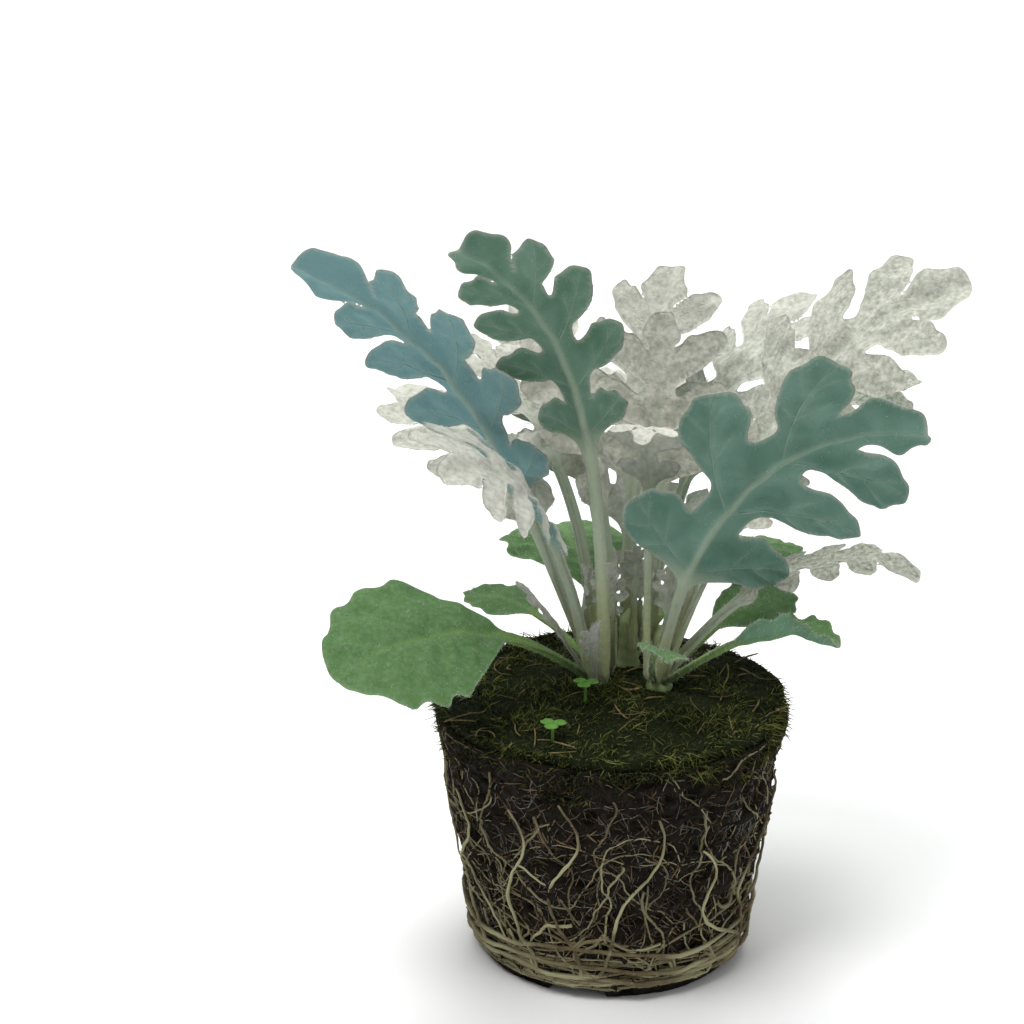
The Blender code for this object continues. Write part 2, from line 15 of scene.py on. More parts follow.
import bpy
import numpy as np
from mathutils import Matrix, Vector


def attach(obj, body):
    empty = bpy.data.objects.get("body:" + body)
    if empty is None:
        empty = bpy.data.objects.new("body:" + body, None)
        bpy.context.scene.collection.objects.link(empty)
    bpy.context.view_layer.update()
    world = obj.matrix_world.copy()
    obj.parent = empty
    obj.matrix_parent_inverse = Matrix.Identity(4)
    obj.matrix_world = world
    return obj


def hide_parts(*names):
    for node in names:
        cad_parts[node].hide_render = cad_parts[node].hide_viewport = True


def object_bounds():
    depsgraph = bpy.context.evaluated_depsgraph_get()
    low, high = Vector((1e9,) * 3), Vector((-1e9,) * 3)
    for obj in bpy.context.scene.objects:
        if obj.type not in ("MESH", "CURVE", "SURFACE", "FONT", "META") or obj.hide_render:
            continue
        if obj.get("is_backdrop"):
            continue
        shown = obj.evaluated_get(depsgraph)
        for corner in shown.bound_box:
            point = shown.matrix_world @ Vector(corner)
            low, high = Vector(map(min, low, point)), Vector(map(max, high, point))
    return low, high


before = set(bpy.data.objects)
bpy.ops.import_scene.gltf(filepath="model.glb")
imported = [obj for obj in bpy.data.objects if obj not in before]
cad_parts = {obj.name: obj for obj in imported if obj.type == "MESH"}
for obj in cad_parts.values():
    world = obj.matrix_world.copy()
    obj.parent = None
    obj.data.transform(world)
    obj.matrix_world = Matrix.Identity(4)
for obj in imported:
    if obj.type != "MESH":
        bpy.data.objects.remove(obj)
BOUNDS_AT_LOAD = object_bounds()

LOG = logging.getLogger("dusty_miller")
MM = 0.001
GAP = 0.3 * MM
FIRST_LEAF_SEED = 100
Array = np.ndarray
Colour = tuple[float, float, float]
LATTICE_PRIMES = np.array([73856093, 19349663, 83492791])
LEVEL = np.array([1.0, 1.0, 0.0])
UP = np.array([0.0, 0.0, 1.0])
MIRROR = np.array([1.0, -1.0])


# Numbers and meshes


def bell(away: Array, width: float | Array) -> Array:
    """One at zero, falling to 1/e at the width."""
    return np.exp(-((away / width) ** 2))


def smooth(value: Array | float) -> Array | float:
    """Smoothstep of a value cut off to the range 0 to 1."""
    value = np.clip(value, 0.0, 1.0)
    return value * value * (3.0 - 2.0 * value)


def unit(vectors: Array) -> Array:
    """Vectors of length one along the last axis."""
    return vectors / np.maximum(np.linalg.norm(vectors, axis=-1, keepdims=True), 1e-12)


def value_noise(points: Array, cell: float, seed: int = 0) -> Array:
    """Smooth noise from -1 to 1: random values on a cubic lattice, blended by a smoothstep.

    Args:
        points: (..., 3) positions in metres.
        cell: side of a lattice cell in metres.
        seed: picks another lattice.

    Returns:
        One value for each point.
    """
    scaled = points / cell
    base = np.floor(scaled).astype(np.int64)
    part = smooth(scaled - base)
    total = np.zeros(points.shape[:-1])
    for corner in itertools.product((0, 1), repeat=3):
        cells = base + np.array(corner)
        mixed = np.bitwise_xor.reduce(cells * LATTICE_PRIMES, axis=-1)
        mixed = (mixed + seed * 7919) * 1274126177
        mixed = (mixed ^ mixed >> 15) * 668265263 & 0x7FFFFFFF
        value = (mixed >> 7 & 0xFFFF) / 32767.5 - 1.0
        weight = np.prod(np.where(np.array(corner) == 1, part, 1.0 - part), axis=-1)
        total += weight * value
    return total


def fractal(points: Array, cell: float, octaves: int = 3, seed: int = 0) -> Array:
    """Sum of value noises, each at half the cell and half the height of the one before."""
    return sum(value_noise(points, cell / 2**n, seed + n) / 2**n for n in range(octaves))


def add_mesh(
    name: str,
    points: Array,
    faces: Sequence[Array],
    finish: bpy.types.Material,
    slot: str,
    attributes: dict[str, Array] | None = None,
) -> bpy.types.Object:
    """Adds one smooth piece that rides on the plant's body.

    Args:
        name: object name.
        points: (N, 3) vertices.
        faces: arrays of faces, each (M, corners).
        finish: material.
        slot: not used.
        attributes: (N,) values for the material, by name.

    Returns:
        The new object.
    """
    corners = np.concatenate([f.ravel() for f in faces]).astype(np.int32)
    totals = np.concatenate([np.full(len(f), f.shape[1]) for f in faces])
    mesh = bpy.data.meshes.new(name)
    mesh.vertices.add(len(points))
    mesh.vertices.foreach_set("co", points.astype(np.float32).ravel())
    mesh.loops.add(len(corners))
    mesh.loops.foreach_set("vertex_index", corners)
    mesh.polygons.add(len(totals))
    starts = np.concatenate([[0], np.cumsum(totals)[:-1]]).astype(np.int32)
    mesh.polygons.foreach_set("loop_start", starts)
    mesh.polygons.foreach_set("use_smooth", np.ones(len(totals), dtype=bool))
    mesh.update(calc_edges=True)
    for key, values in (attributes or {}).items():
        layer = mesh.attributes.new(key, "FLOAT", "POINT")
        layer.data.foreach_set("value", values.astype(np.float32))
    mesh.materials.append(finish)
    piece = bpy.data.objects.new(name, mesh)
    bpy.context.scene.collection.objects.link(piece)
    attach(piece, "root")
    return piece


def ring_quads(index: Array) -> Array:
    """Quads between neighbouring rings of vertex numbers.

    Args:
        index: (..., rings, sides) vertex numbers.

    Returns:
        (M, 4) quads.
    """
    near, far = index[..., :-1, :], index[..., 1:, :]
    corners = [near, far, np.roll(far, -1, -1), np.roll(near, -1, -1)]
    return np.stack(corners, axis=-1).reshape(-1, 4)


def sweep(paths: Array, radii: Array, sides: int, hint: Array) -> tuple[Array, list[Array]]:
    """Closed tubes: a regular ring of points at each step of each path.

    Args:
        paths: (N, K, 3) centre lines.
        radii: (N, K) radii.
        sides: points in a ring.
        hint: (..., 3) directions that the rings' first axis leans to.

    Returns:
        Points and faces of all N tubes.
    """
    count, steps = paths.shape[:2]
    along = unit(np.gradient(paths, axis=1))
    side = unit(np.cross(along, np.broadcast_to(hint, paths.shape)))
    up = np.cross(side, along)
    turn = 2.0 * np.pi * np.arange(sides) / sides
    ring = side[:, :, None] * np.cos(turn)[:, None] + up[:, :, None] * np.sin(turn)[:, None]
    points = paths[:, :, None] + radii[:, :, None, None] * ring
    index = np.arange(count * steps * sides).reshape(count, steps, sides)
    return points.reshape(-1, 3), [ring_quads(index), index[:, 0], index[:, -1, ::-1]]


def add_tubes(
    name: str, paths: Array, radii: Array, sides: int, hint: Array,
    finish: bpy.types.Material, slot: str, tone: Array | None = None,
) -> bpy.types.Object:
    """Adds swept tubes as one piece, with the attribute tone from one value for each tube.

    Args:
        name: object name.
        paths: (N, K, 3) centre lines.
        radii: (N, K) radii.
        sides: points in a ring.
        hint: directions that the rings' first axis leans to.
        finish: material.
        slot: the record's material slot.
        tone: (N,) values, or None for no attribute.

    Returns:
        The new object.
    """
    points, faces = sweep(paths, radii, sides, hint)
    tones = None if tone is None else {"tone": np.repeat(tone, paths.shape[1] * sides)}
    return add_mesh(name, points, faces, finish, slot, tones)


# Finishes


class Graph:
    """A procedural material under construction, on object coordinates and attributes."""

    SPECULAR = 0.12
    SHEEN_ROUGHNESS = 0.5

    def __init__(self, name: str, roughness: float, sheen: float = 0.0) -> None:
        """Starts the material with the plain values of its shader.

        Args:
            name: the material's name, without _look.
            roughness: the shader's roughness.
            sheen: weight of the soft shine that fibres have.
        """
        self.material = bpy.data.materials.new(name + "_look")
        self.material.use_nodes = True
        self.nodes = self.material.node_tree.nodes
        self.links = self.material.node_tree.links
        self.shader = self.nodes["Principled BSDF"]
        self.shader.inputs["Roughness"].default_value = roughness
        self.shader.inputs["Sheen Weight"].default_value = sheen
        self.shader.inputs["Sheen Roughness"].default_value = self.SHEEN_ROUGHNESS
        self.shader.inputs["Specular IOR Level"].default_value = self.SPECULAR
        self.spots = self.nodes.new("ShaderNodeTexCoord").outputs["Object"]

    def feed(self, value: object, socket: bpy.types.NodeSocket) -> None:
        """Links an output to a socket, or sets a number or a colour on it.

        Args:
            value: a node's output, a number or a colour.
            socket: the input that takes it.
        """
        if isinstance(value, bpy.types.NodeSocket):
            self.links.new(value, socket)
        elif isinstance(value, tuple):
            socket.default_value = (*value, 1.0)
        else:
            socket.default_value = value

    def attribute(self, name: str) -> bpy.types.NodeSocket:
        """A mesh attribute as a number.

        Args:
            name: the attribute.

        Returns:
            The output that carries it.
        """
        node = self.nodes.new("ShaderNodeAttribute")
        node.attribute_name = name
        return node.outputs["Fac"]

    def noise(
        self, size: float, detail: float = 3.0, low: float = 0.3, high: float = 0.7
    ) -> bpy.types.NodeSocket:
        """Noise with features of a size in metres, spread from 0 at low to 1 at high.

        Args:
            size: width of a feature in metres.
            detail: how many finer layers it has.
            low: noise that becomes 0.
            high: noise that becomes 1.

        Returns:
            The spread noise.
        """
        node = self.nodes.new("ShaderNodeTexNoise")
        self.links.new(self.spots, node.inputs["Vector"])
        node.inputs["Scale"].default_value = 1.0 / size
        node.inputs["Detail"].default_value = detail
        spread = self.nodes.new("ShaderNodeMapRange")
        self.links.new(node.outputs["Fac"], spread.inputs["Value"])
        spread.inputs["From Min"].default_value = low
        spread.inputs["From Max"].default_value = high
        return spread.outputs["Result"]

    def mix(self, amount: object, first: object, second: object) -> bpy.types.NodeSocket:
        """A blend of two colours. The node's colour sockets are its 7th and 8th, and 3rd out.

        Args:
            amount: share of the second colour.
            first: colour at 0.
            second: colour at 1.

        Returns:
            The blended colour.
        """
        node = self.nodes.new("ShaderNodeMix")
        node.data_type = "RGBA"
        for value, socket in ((amount, 0), (first, 6), (second, 7)):
            self.feed(value, node.inputs[socket])
        return node.outputs[2]

    def number(self, operation: str, first: object, second: object = 0.0) -> bpy.types.NodeSocket:
        """One arithmetic step, cut off to the range 0 to 1.

        Args:
            operation: the Math node's operation.
            first: its first value.
            second: its second value.

        Returns:
            The result.
        """
        node = self.nodes.new("ShaderNodeMath")
        node.operation = operation
        node.use_clamp = True
        self.feed(first, node.inputs[0])
        self.feed(second, node.inputs[1])
        return node.outputs[0]

    def finish(self, colour: object, height: object, depth: float) -> bpy.types.Material:
        """Sets the colour and the bump, whose full height is a depth in metres.

        Args:
            colour: base colour.
            height: height of the bump, from 0 to 1.
            depth: its full height in metres.

        Returns:
            The finished material.
        """
        self.feed(colour, self.shader.inputs["Base Color"])
        bump = self.nodes.new("ShaderNodeBump")
        bump.inputs["Strength"].default_value = 1.0
        bump.inputs["Distance"].default_value = depth
        self.feed(height, bump.inputs["Height"])
        self.links.new(bump.outputs["Normal"], self.shader.inputs["Normal"])
        return self.material


@dataclass(frozen=True)
class LeafFinish:
    """Colours of one kind of leaf: felt above, bare tissue below, and the stalk."""

    name: str
    felt: Colour
    felt_shade: Colour
    through: Colour
    under: Colour
    under_shade: Colour
    under_blue: Colour
    vein: Colour
    rim: Colour
    stalk: Colour
    stalk_foot: Colour
    sheen: float

    ROUGHNESS = 0.85
    VEIN_SHARE, RIM_SHARE, STREAK_SHARE = 0.9, 0.4, 0.22
    BUMP = 0.32 * MM

    def upper(self, graph: Graph) -> bpy.types.NodeSocket:
        """Felt, mottled where the green shows through.

        Args:
            graph: the material under construction.

        Returns:
            The colour of the upper face.
        """
        felt = graph.mix(graph.noise(1.5 * MM, 6.0, 0.40, 0.85), self.felt, self.felt_shade)
        worn = graph.noise(1.0 * MM, 6.0, 0.34, 0.72)
        return graph.mix(graph.number("MULTIPLY", worn, graph.attribute("bare")), felt, self.through)

    def lower(self, graph: Graph) -> bpy.types.NodeSocket:
        """Bare tissue, bluer on some leaves, with veins that come and go.

        Args:
            graph: the material under construction.

        Returns:
            The colour of the lower face.
        """
        tissue = graph.mix(graph.noise(9.0 * MM), self.under, self.under_shade)
        tissue = graph.mix(graph.attribute("blue"), tissue, self.under_blue)
        faint = graph.number("MULTIPLY", graph.attribute("vein"), graph.noise(5.0 * MM, 3.0, 0.1, 1.3))
        return graph.mix(graph.number("MULTIPLY", faint, self.VEIN_SHARE), tissue, self.vein)

    def stem(self, graph: Graph) -> bpy.types.NodeSocket:
        """The stalk and the main rib, greener at the foot, streaked with felt.

        Args:
            graph: the material under construction.

        Returns:
            The colour of the stem.
        """
        foot = graph.mix(graph.attribute("foot"), self.stalk, self.stalk_foot)
        streak = graph.number("MULTIPLY", graph.noise(1.6 * MM, 4.0), self.STREAK_SHARE)
        return graph.mix(streak, foot, self.felt)

    def build(self) -> bpy.types.Material:
        """Both faces by the attribute under, the pale margin, the stem, and a felted bump.

        Returns:
            The material.
        """
        graph = Graph(self.name, self.ROUGHNESS, self.sheen)
        colour = graph.mix(graph.attribute("under"), self.upper(graph), self.lower(graph))
        rim = graph.number("MULTIPLY", graph.attribute("rim"), self.RIM_SHARE)
        colour = graph.mix(rim, colour, self.rim)
        colour = graph.mix(graph.attribute("stem"), colour, self.stem(graph))
        fuzz, lumps = graph.noise(0.55 * MM, 4.0, 0.2, 0.8), graph.noise(2.2 * MM, 2.0, 0.2, 0.8)
        height = graph.number("MULTIPLY", graph.number("ADD", fuzz, lumps), 0.5)
        return graph.finish(colour, height, self.BUMP)


@dataclass(frozen=True)
class GrainFinish:
    """A finish mottled from two colours, with a third in spots and by the attribute tone."""

    name: str
    base: Colour
    shade: Colour
    spot: Colour
    size: float
    spots: float = 0.0
    depth: float = 0.0
    toned: bool = False
    roughness: float = 0.9

    def build(self) -> bpy.types.Material:
        """The mottled colour with a bump of the same grain.

        Returns:
            The material.
        """
        graph = Graph(self.name, self.roughness)
        colour = graph.mix(graph.noise(self.size, 5.0), self.base, self.shade)
        spotted = graph.noise(0.6 * self.size, 4.0, 0.62, 0.7)
        colour = graph.mix(graph.number("MULTIPLY", spotted, self.spots), colour, self.spot)
        if self.toned:
            colour = graph.mix(graph.attribute("tone"), colour, self.spot)
        return graph.finish(colour, graph.noise(0.4 * self.size, 5.0, 0.2, 0.8), self.depth)


class Finish(Enum):
    """Every finish of the scene. Grain finishes give their base, shade and spot colours."""

    SILVER = LeafFinish(
        name="silver_leaf", sheen=0.1,
        felt=(0.57, 0.565, 0.50), felt_shade=(0.29, 0.30, 0.25), through=(0.16, 0.205, 0.13),
        under=(0.078, 0.172, 0.11), under_shade=(0.15, 0.26, 0.195), under_blue=(0.17, 0.32, 0.335),
        vein=(0.40, 0.50, 0.41), rim=(0.62, 0.62, 0.53),
        stalk=(0.36, 0.43, 0.31), stalk_foot=(0.36, 0.41, 0.19),
    )
    GREEN = LeafFinish(
        name="green_leaf", sheen=0.06,
        felt=(0.10, 0.20, 0.07), felt_shade=(0.17, 0.27, 0.14), through=(0.06, 0.13, 0.035),
        under=(0.12, 0.23, 0.12), under_shade=(0.13, 0.25, 0.12), under_blue=(0.12, 0.26, 0.20),
        vein=(0.30, 0.42, 0.20), rim=(0.26, 0.36, 0.20),
        stalk=(0.20, 0.32, 0.09), stalk_foot=(0.12, 0.20, 0.04),
    )
    STALK = GrainFinish(
        "stalk", (0.20, 0.27, 0.10), (0.30, 0.36, 0.20), (0.12, 0.18, 0.05),
        size=2.5 * MM, spots=0.4, depth=0.1 * MM,
    )
    HAIR = GrainFinish("hair", (0.66, 0.67, 0.60), (0.52, 0.54, 0.47), (0.7, 0.7, 0.7), size=4.0 * MM)
    SOIL = GrainFinish(
        "soil", (0.006, 0.005, 0.0035), (0.018, 0.014, 0.009), (0.06, 0.042, 0.025),
        size=1.6 * MM, spots=0.5, depth=0.5 * MM,
    )
    ROOT = GrainFinish(
        "root", (0.15, 0.12, 0.065), (0.07, 0.052, 0.028), (0.36, 0.34, 0.20),
        size=2.0 * MM, spots=0.4, depth=0.1 * MM, toned=True,
    )
    FINE_ROOT = GrainFinish(
        "fine_root", (0.09, 0.075, 0.055), (0.05, 0.038, 0.028), (0.20, 0.21, 0.19),
        size=2.0 * MM, toned=True,
    )
    FIBRE = GrainFinish(
        "peat_fibre", (0.035, 0.022, 0.013), (0.012, 0.008, 0.005), (0.20, 0.135, 0.08),
        size=2.0 * MM, toned=True,
    )
    MOSS = GrainFinish(
        "moss", (0.007, 0.010, 0.003), (0.014, 0.020, 0.006), (0.03, 0.026, 0.01),
        size=1.5 * MM, spots=0.5, depth=0.6 * MM,
    )
    STRAND = GrainFinish(
        "moss_strand", (0.009, 0.016, 0.004), (0.020, 0.032, 0.008), (0.19, 0.20, 0.05),
        size=2.0 * MM, toned=True,
    )
    STRAW = GrainFinish(
        "straw", (0.27, 0.21, 0.10), (0.11, 0.075, 0.035), (0.40, 0.33, 0.18),
        size=1.5 * MM, spots=0.4, depth=0.1 * MM,
    )
    SEEDLING = GrainFinish(
        "seedling", (0.10, 0.25, 0.045), (0.16, 0.34, 0.08), (0.3, 0.5, 0.16),
        size=1.5 * MM, spots=0.3, depth=0.1 * MM,
    )
    FLOOR = GrainFinish(
        "floor", (0.90, 0.90, 0.89), (0.88, 0.88, 0.87), (0.8, 0.8, 0.8), size=0.4, roughness=0.95,
    )

    @property
    def material(self) -> bpy.types.Material:
        """The material, built once. Names end in _look, as the frame's own are named by slot."""
        return bpy.data.materials.get(self.value.name + "_look") or self.value.build()


# Root ball


@dataclass(frozen=True)
class Plug:
    """The soil plug's sizes and the rough surface on it."""

    height: float = 61.5 * MM
    top_radius: float = 41.5 * MM
    foot_radius: float = 32.0 * MM
    edge: float = 4.0 * MM
    flat_foot: float = 21.0 * MM
    notches: tuple[float, ...] = (-103.0, -13.0, 77.0, 167.0)
    notch_half_angle: float = 13.0
    notch_rise: float = 4.2 * MM
    lump: float = 0.8 * MM
    crumb: float = 1.0 * MM
    pit: float = 1.8 * MM
    sides: int = 540
    rings: int = 150

    def radius(self, z: Array) -> Array:
        """Smooth radius at a height: a cone whose foot is rounded off by a quarter circle.

        Args:
            z: heights above the foot.

        Returns:
            The radius at each.
        """
        widening = (self.top_radius - self.foot_radius) * np.clip(z / self.height, 0.0, 1.0)
        drop = np.clip(self.edge - z, 0.0, self.edge)
        return self.foot_radius + widening - (self.edge - np.sqrt(self.edge**2 - drop**2))

    def spot(self, azimuth: Array, z: Array, out: Array | float) -> Array:
        """Points at an azimuth in degrees and a height, out from the smooth plug.

        Args:
            azimuth: degrees round the axis.
            z: heights above the foot.
            out: distance out from the smooth plug.

        Returns:
            (..., 3) points.
        """
        turn = np.radians(azimuth)
        radius = self.radius(z) + out
        return np.stack([radius * np.cos(turn), radius * np.sin(turn), z + 0.0 * azimuth], axis=-1)

    def relief(self, azimuth: Array, z: Array) -> Array:
        """Height of the crumbs: low lumps, ridged noise with finer noise, less the pits.

        Args:
            azimuth: degrees round the axis.
            z: heights above the foot.

        Returns:
            How far the soil stands out at each place.
        """
        spots = self.spot(azimuth, z, 0.0)
        lumps = self.lump * fractal(spots, 7.0 * MM, 2, 3)
        ridges = 0.5 - np.abs(value_noise(spots, 2.6 * MM, 9))
        crumbs = self.crumb * (ridges + 0.5 * fractal(spots, 1.3 * MM, 2, 12))
        pits = -self.pit * smooth((value_noise(spots, 4.5 * MM, 21) - 0.2) * 2.5)
        return lumps + crumbs + pits

    def notch(self, azimuth: Array) -> Array:
        """How deep an azimuth is in one of the notches of the foot, from 0 to 1.

        Args:
            azimuth: degrees round the axis.

        Returns:
            One in the middle of a notch, zero outside.
        """
        turned = azimuth[..., None] - np.array(self.notches)
        away = np.abs((turned + 180.0) % 360.0 - 180.0).min(axis=-1)
        return np.clip(1.0 - away / self.notch_half_angle, 0.0, 1.0)

    def build(self) -> bpy.types.Object:
        """The soil: a grid of azimuth and height, closed by a flat foot and a flat top.

        Returns:
            The piece.
        """
        around = 360.0 * np.arange(self.sides) / self.sides
        up = np.linspace(0.0, 1.0, self.rings) ** 1.08 * self.height
        azimuth, z = np.meshgrid(around, up)
        faded = smooth(z / (2.0 * MM) + 0.2) * smooth((self.height - z) / MM + 0.3)
        out = self.relief(azimuth, z) * faded
        points = self.spot(azimuth, np.maximum(z, 1.2 * MM), out + 0.2 * MM)
        notch = smooth(5.0 * self.notch(azimuth))
        points[..., 2] = z + self.notch_rise * notch * np.clip(1.0 - z / (7.0 * MM), 0.0, 1.0)
        index = np.arange(self.sides * self.rings).reshape(self.rings, self.sides)
        low, high = index[:-1], index[1:]
        walls = np.stack([low, np.roll(low, -1, 1), np.roll(high, -1, 1), high], axis=-1)
        turn = np.radians(around)
        foot = self.flat_foot * np.stack([np.cos(turn), np.sin(turn), 0.0 * turn], axis=-1)
        inner = index[-1] + self.sides
        skirt = np.stack([inner, np.roll(inner, -1), np.roll(index[0], -1), index[0]], axis=-1)
        faces = [walls.reshape(-1, 4), skirt, inner[None, ::-1], index[-1][None]]
        everything = np.concatenate([points.reshape(-1, 3), foot])
        piece = add_mesh("root_ball_soil", everything, faces, Finish.SOIL.material, "soil")
        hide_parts("root_ball")
        return piece


PLUG = Plug()


class Growth(NamedTuple):
    """How a set of thin roots grows: how many, in how many steps, how long and where.

    lean is the spread of the first headings in radians, and zone the share of the plug's
    height that they start in.
    """

    count: int
    steps: int
    seed: int
    length: tuple[float, float]
    lean: float
    zone: tuple[float, float]


@dataclass(frozen=True)
class RootNet:
    """The roots outside the soil: the hoops, mains and branches of the solid, and finer ones.

    wander_round and fibre_round are the radii of the plug by which lengths become degrees.
    """

    seed: int = 32
    main_radius: float = 0.85 * MM
    branch_radius: float = 0.6 * MM
    thinner: float = 0.56
    taper: float = 0.6
    hoop_heights: tuple[float, ...] = (5.2 * MM, 8.0 * MM, 12.5 * MM)
    mains: int = 14
    branches: int = 10
    middling: Growth = Growth(90, 60, 4, (30 * MM, 85 * MM), 0.8, (0.25, 0.95))
    circling: Growth = Growth(130, 70, 14, (40 * MM, 140 * MM), 0.7, (0.06, 0.36))
    fine: Growth = Growth(430, 30, 6, (8 * MM, 34 * MM), 1.1, (0.12, 0.99))
    wander_round: float = 36e-3
    fibre_count: int = 4000
    fibre_round: float = 37e-3

    def on_soil(self, azimuth: Array, z: Array) -> Array:
        """Middle of a thick root, just outside the soil."""
        return PLUG.spot(azimuth, z, GAP + self.main_radius)

    def thick_paths(self) -> Iterator[tuple[Array, float, float]]:
        """Path, radius and thinnest share of each hoop, main root and branch.

        Returns:
            For each root its (K, 3) path, its radius and the share of it left at its end.
        """
        draw = random.Random(self.seed)
        share = np.linspace(0.0, 1.0, 90)
        low = self.hoop_heights[0]
        for level, height in enumerate(self.hoop_heights):
            azimuth = 360.0 * share
            wave = 1.3 * MM * np.sin(np.radians(azimuth * (2 + level) + 70 * level))
            radius = self.main_radius * (1.25 if level == 0 else 1.1)
            yield self.on_soil(azimuth, height + wave), radius, 1.0
        for n in range(self.mains):
            azimuth = 360.0 * n / self.mains + draw.uniform(-5, 5)
            top = draw.uniform(0.62, 0.9) * PLUG.height
            drift, sway = draw.uniform(-34, 34), draw.uniform(3, 7)
            turned = azimuth + drift * share**2 + sway * np.sin(2.6 * np.pi * share)
            yield self.on_soil(turned, top + (low - top) * share)[::-1], self.main_radius, self.taper
            if n < self.branches:
                start = draw.choice((2, 3, 4, 5)) / 9
                side, reach = draw.choice((-1, 1)), draw.uniform(18, 30)
                fall = draw.uniform(6, 16) * MM
                fork = azimuth + drift * start**2 + sway * np.sin(2.6 * np.pi * start)
                z = top + (low - top) * start - fall * share**1.4
                yield self.on_soil(fork + side * reach * share, z), self.branch_radius, self.taper

    def wandering(self, growth: Growth) -> Array:
        """Azimuths and heights of roots that wander over the soil.

        Each heading starts near straight down, is turned by a smooth random walk and bends to
        run level where the root nears the foot.

        Args:
            growth: how they grow.

        Returns:
            (2, count, steps) azimuths in degrees and heights in metres.
        """
        draw = np.random.default_rng(growth.seed)
        column, grid = (growth.count, 1), (growth.count, growth.steps)
        start_z = PLUG.height * draw.uniform(*growth.zone, column)
        heading = draw.normal(0.0, growth.lean, column) + np.cumsum(draw.normal(0.0, 0.22, grid), axis=1)
        stride = draw.uniform(*growth.length, column) / growth.steps
        z = start_z + np.cumsum(-np.cos(heading) * stride, axis=1)
        floor = 3.2 * MM + 7.0 * MM * draw.random(column) ** 2
        wave = 0.6 * MM * np.sin(np.linspace(0, 9, growth.steps) + start_z / MM)
        settled = np.maximum(z, floor + wave)
        level = np.where(z < settled, 1.0, 0.0)
        swing = np.sign(heading[:, :1] + 1e-9)
        sideways = np.sin(heading) * (1.0 - level) + swing * level
        run = np.degrees(np.cumsum(sideways * stride, axis=1) / self.wander_round)
        azimuth = draw.uniform(0, 360, column) + run
        return np.stack([azimuth, np.clip(settled, 2.6 * MM, PLUG.height - 1.0 * MM)])

    def strands(
        self, name: str, growth: Growth, radius: tuple[float, float], sides: int,
        finish: Finish, tone: tuple[float, float],
    ) -> None:
        """Thin roots half sunk in the crumbs of the soil.

        Args:
            name: the piece's name.
            growth: how they grow.
            radius: thinnest and thickest root at its start.
            sides: corners of a root's section.
            finish: their finish.
            tone: range of the attribute that lightens them.
        """
        azimuth, z = self.wandering(growth)
        draw = np.random.default_rng(growth.seed + 1)
        count, steps = azimuth.shape
        thick = draw.uniform(*radius, (count, 1)) * np.linspace(1.0, 0.35, steps)
        crumbs = PLUG.relief(azimuth, z)
        padded = np.pad(crumbs, ((0, 0), (2, 2)), mode="edge")
        eased = np.apply_along_axis(np.convolve, 1, padded, np.ones(5) / 5.0, "valid")
        out = np.maximum(eased, crumbs - 0.3 * MM)
        paths = PLUG.spot(azimuth, z, out + 0.2 * MM + thick * 0.7)
        tones, hint = draw.uniform(*tone, count), unit(paths * LEVEL)
        add_tubes(name, paths, thick, sides, hint, finish.material, "root", tones)

    def fibres(self) -> None:
        """Short straight bits of peat fibre that lie on the soil at any angle."""
        draw, count = np.random.default_rng(27), self.fibre_count
        azimuth = draw.uniform(0, 360, (count, 1))
        z = draw.uniform(3 * MM, PLUG.height, (count, 1))
        angle, reach = draw.uniform(0, np.pi, (count, 1)), draw.uniform(0.8, 3.2, (count, 1)) * MM
        share = np.linspace(-1.0, 1.0, 4)
        azimuth = azimuth + np.degrees(np.cos(angle) * reach * share / self.fibre_round)
        z = np.clip(z + np.sin(angle) * reach * share, 2 * MM, PLUG.height)
        out = PLUG.relief(azimuth, z).mean(axis=1, keepdims=True)
        paths = PLUG.spot(azimuth, z, out + draw.normal(0.3, 0.25, azimuth.shape) * MM)
        thick = draw.uniform(0.06, 0.2, (count, 1)) * MM * np.array([0.6, 1.0, 1.0, 0.5])
        tones, hint = draw.random(count) ** 3, unit(paths * LEVEL)
        add_tubes("peat_fibres", paths, thick, 4, hint, Finish.FIBRE.material, "soil", tones)

    def thick_roots(self) -> None:
        """The solid's hoops, mains and branches, thinner, knobbly and off their smooth paths."""
        parts, walls, count = [], [[], [], []], 0
        for path, radius, thin in self.thick_paths():
            bumps = 1.0 + 0.22 * fractal(path, 3.0 * MM, 2, 5)
            radii = radius * np.linspace(1.0, thin, len(path)) * bumps
            shift = 0.6 * MM * np.stack([fractal(path, 7.0 * MM, 3, n) for n in (1, 2, 3)], axis=-1)
            course, wide, hint = (path + shift)[None], radii[None] * self.thinner, unit(path * LEVEL)
            points, faces = sweep(course, wide, 8, hint)
            parts.append(points)
            for kept, new in zip(walls, faces):
                kept.append(new + count)
            count += len(points)
        points, faces = np.concatenate(parts), [np.concatenate(f) for f in walls]
        tone = smooth(0.5 + fractal(points, 12 * MM, 2, 8))
        piece = add_mesh("root_net", points, faces, Finish.ROOT.material, "root", {"tone": tone})
        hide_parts("roots")

    def build(self) -> None:
        """All the roots and the fibres."""
        thin, thick, fine = (0.18 * MM, 0.40 * MM), (0.18 * MM, 0.50 * MM), (0.07 * MM, 0.14 * MM)
        self.thick_roots()
        self.strands("root_strands", self.middling, thin, 6, Finish.ROOT, (0.0, 0.7))
        self.strands("root_circling", self.circling, thick, 6, Finish.ROOT, (0.0, 1.0))
        self.fibres()
        self.strands("root_hairs", self.fine, fine, 4, Finish.FINE_ROOT, (0.2, 1.0))


# Moss


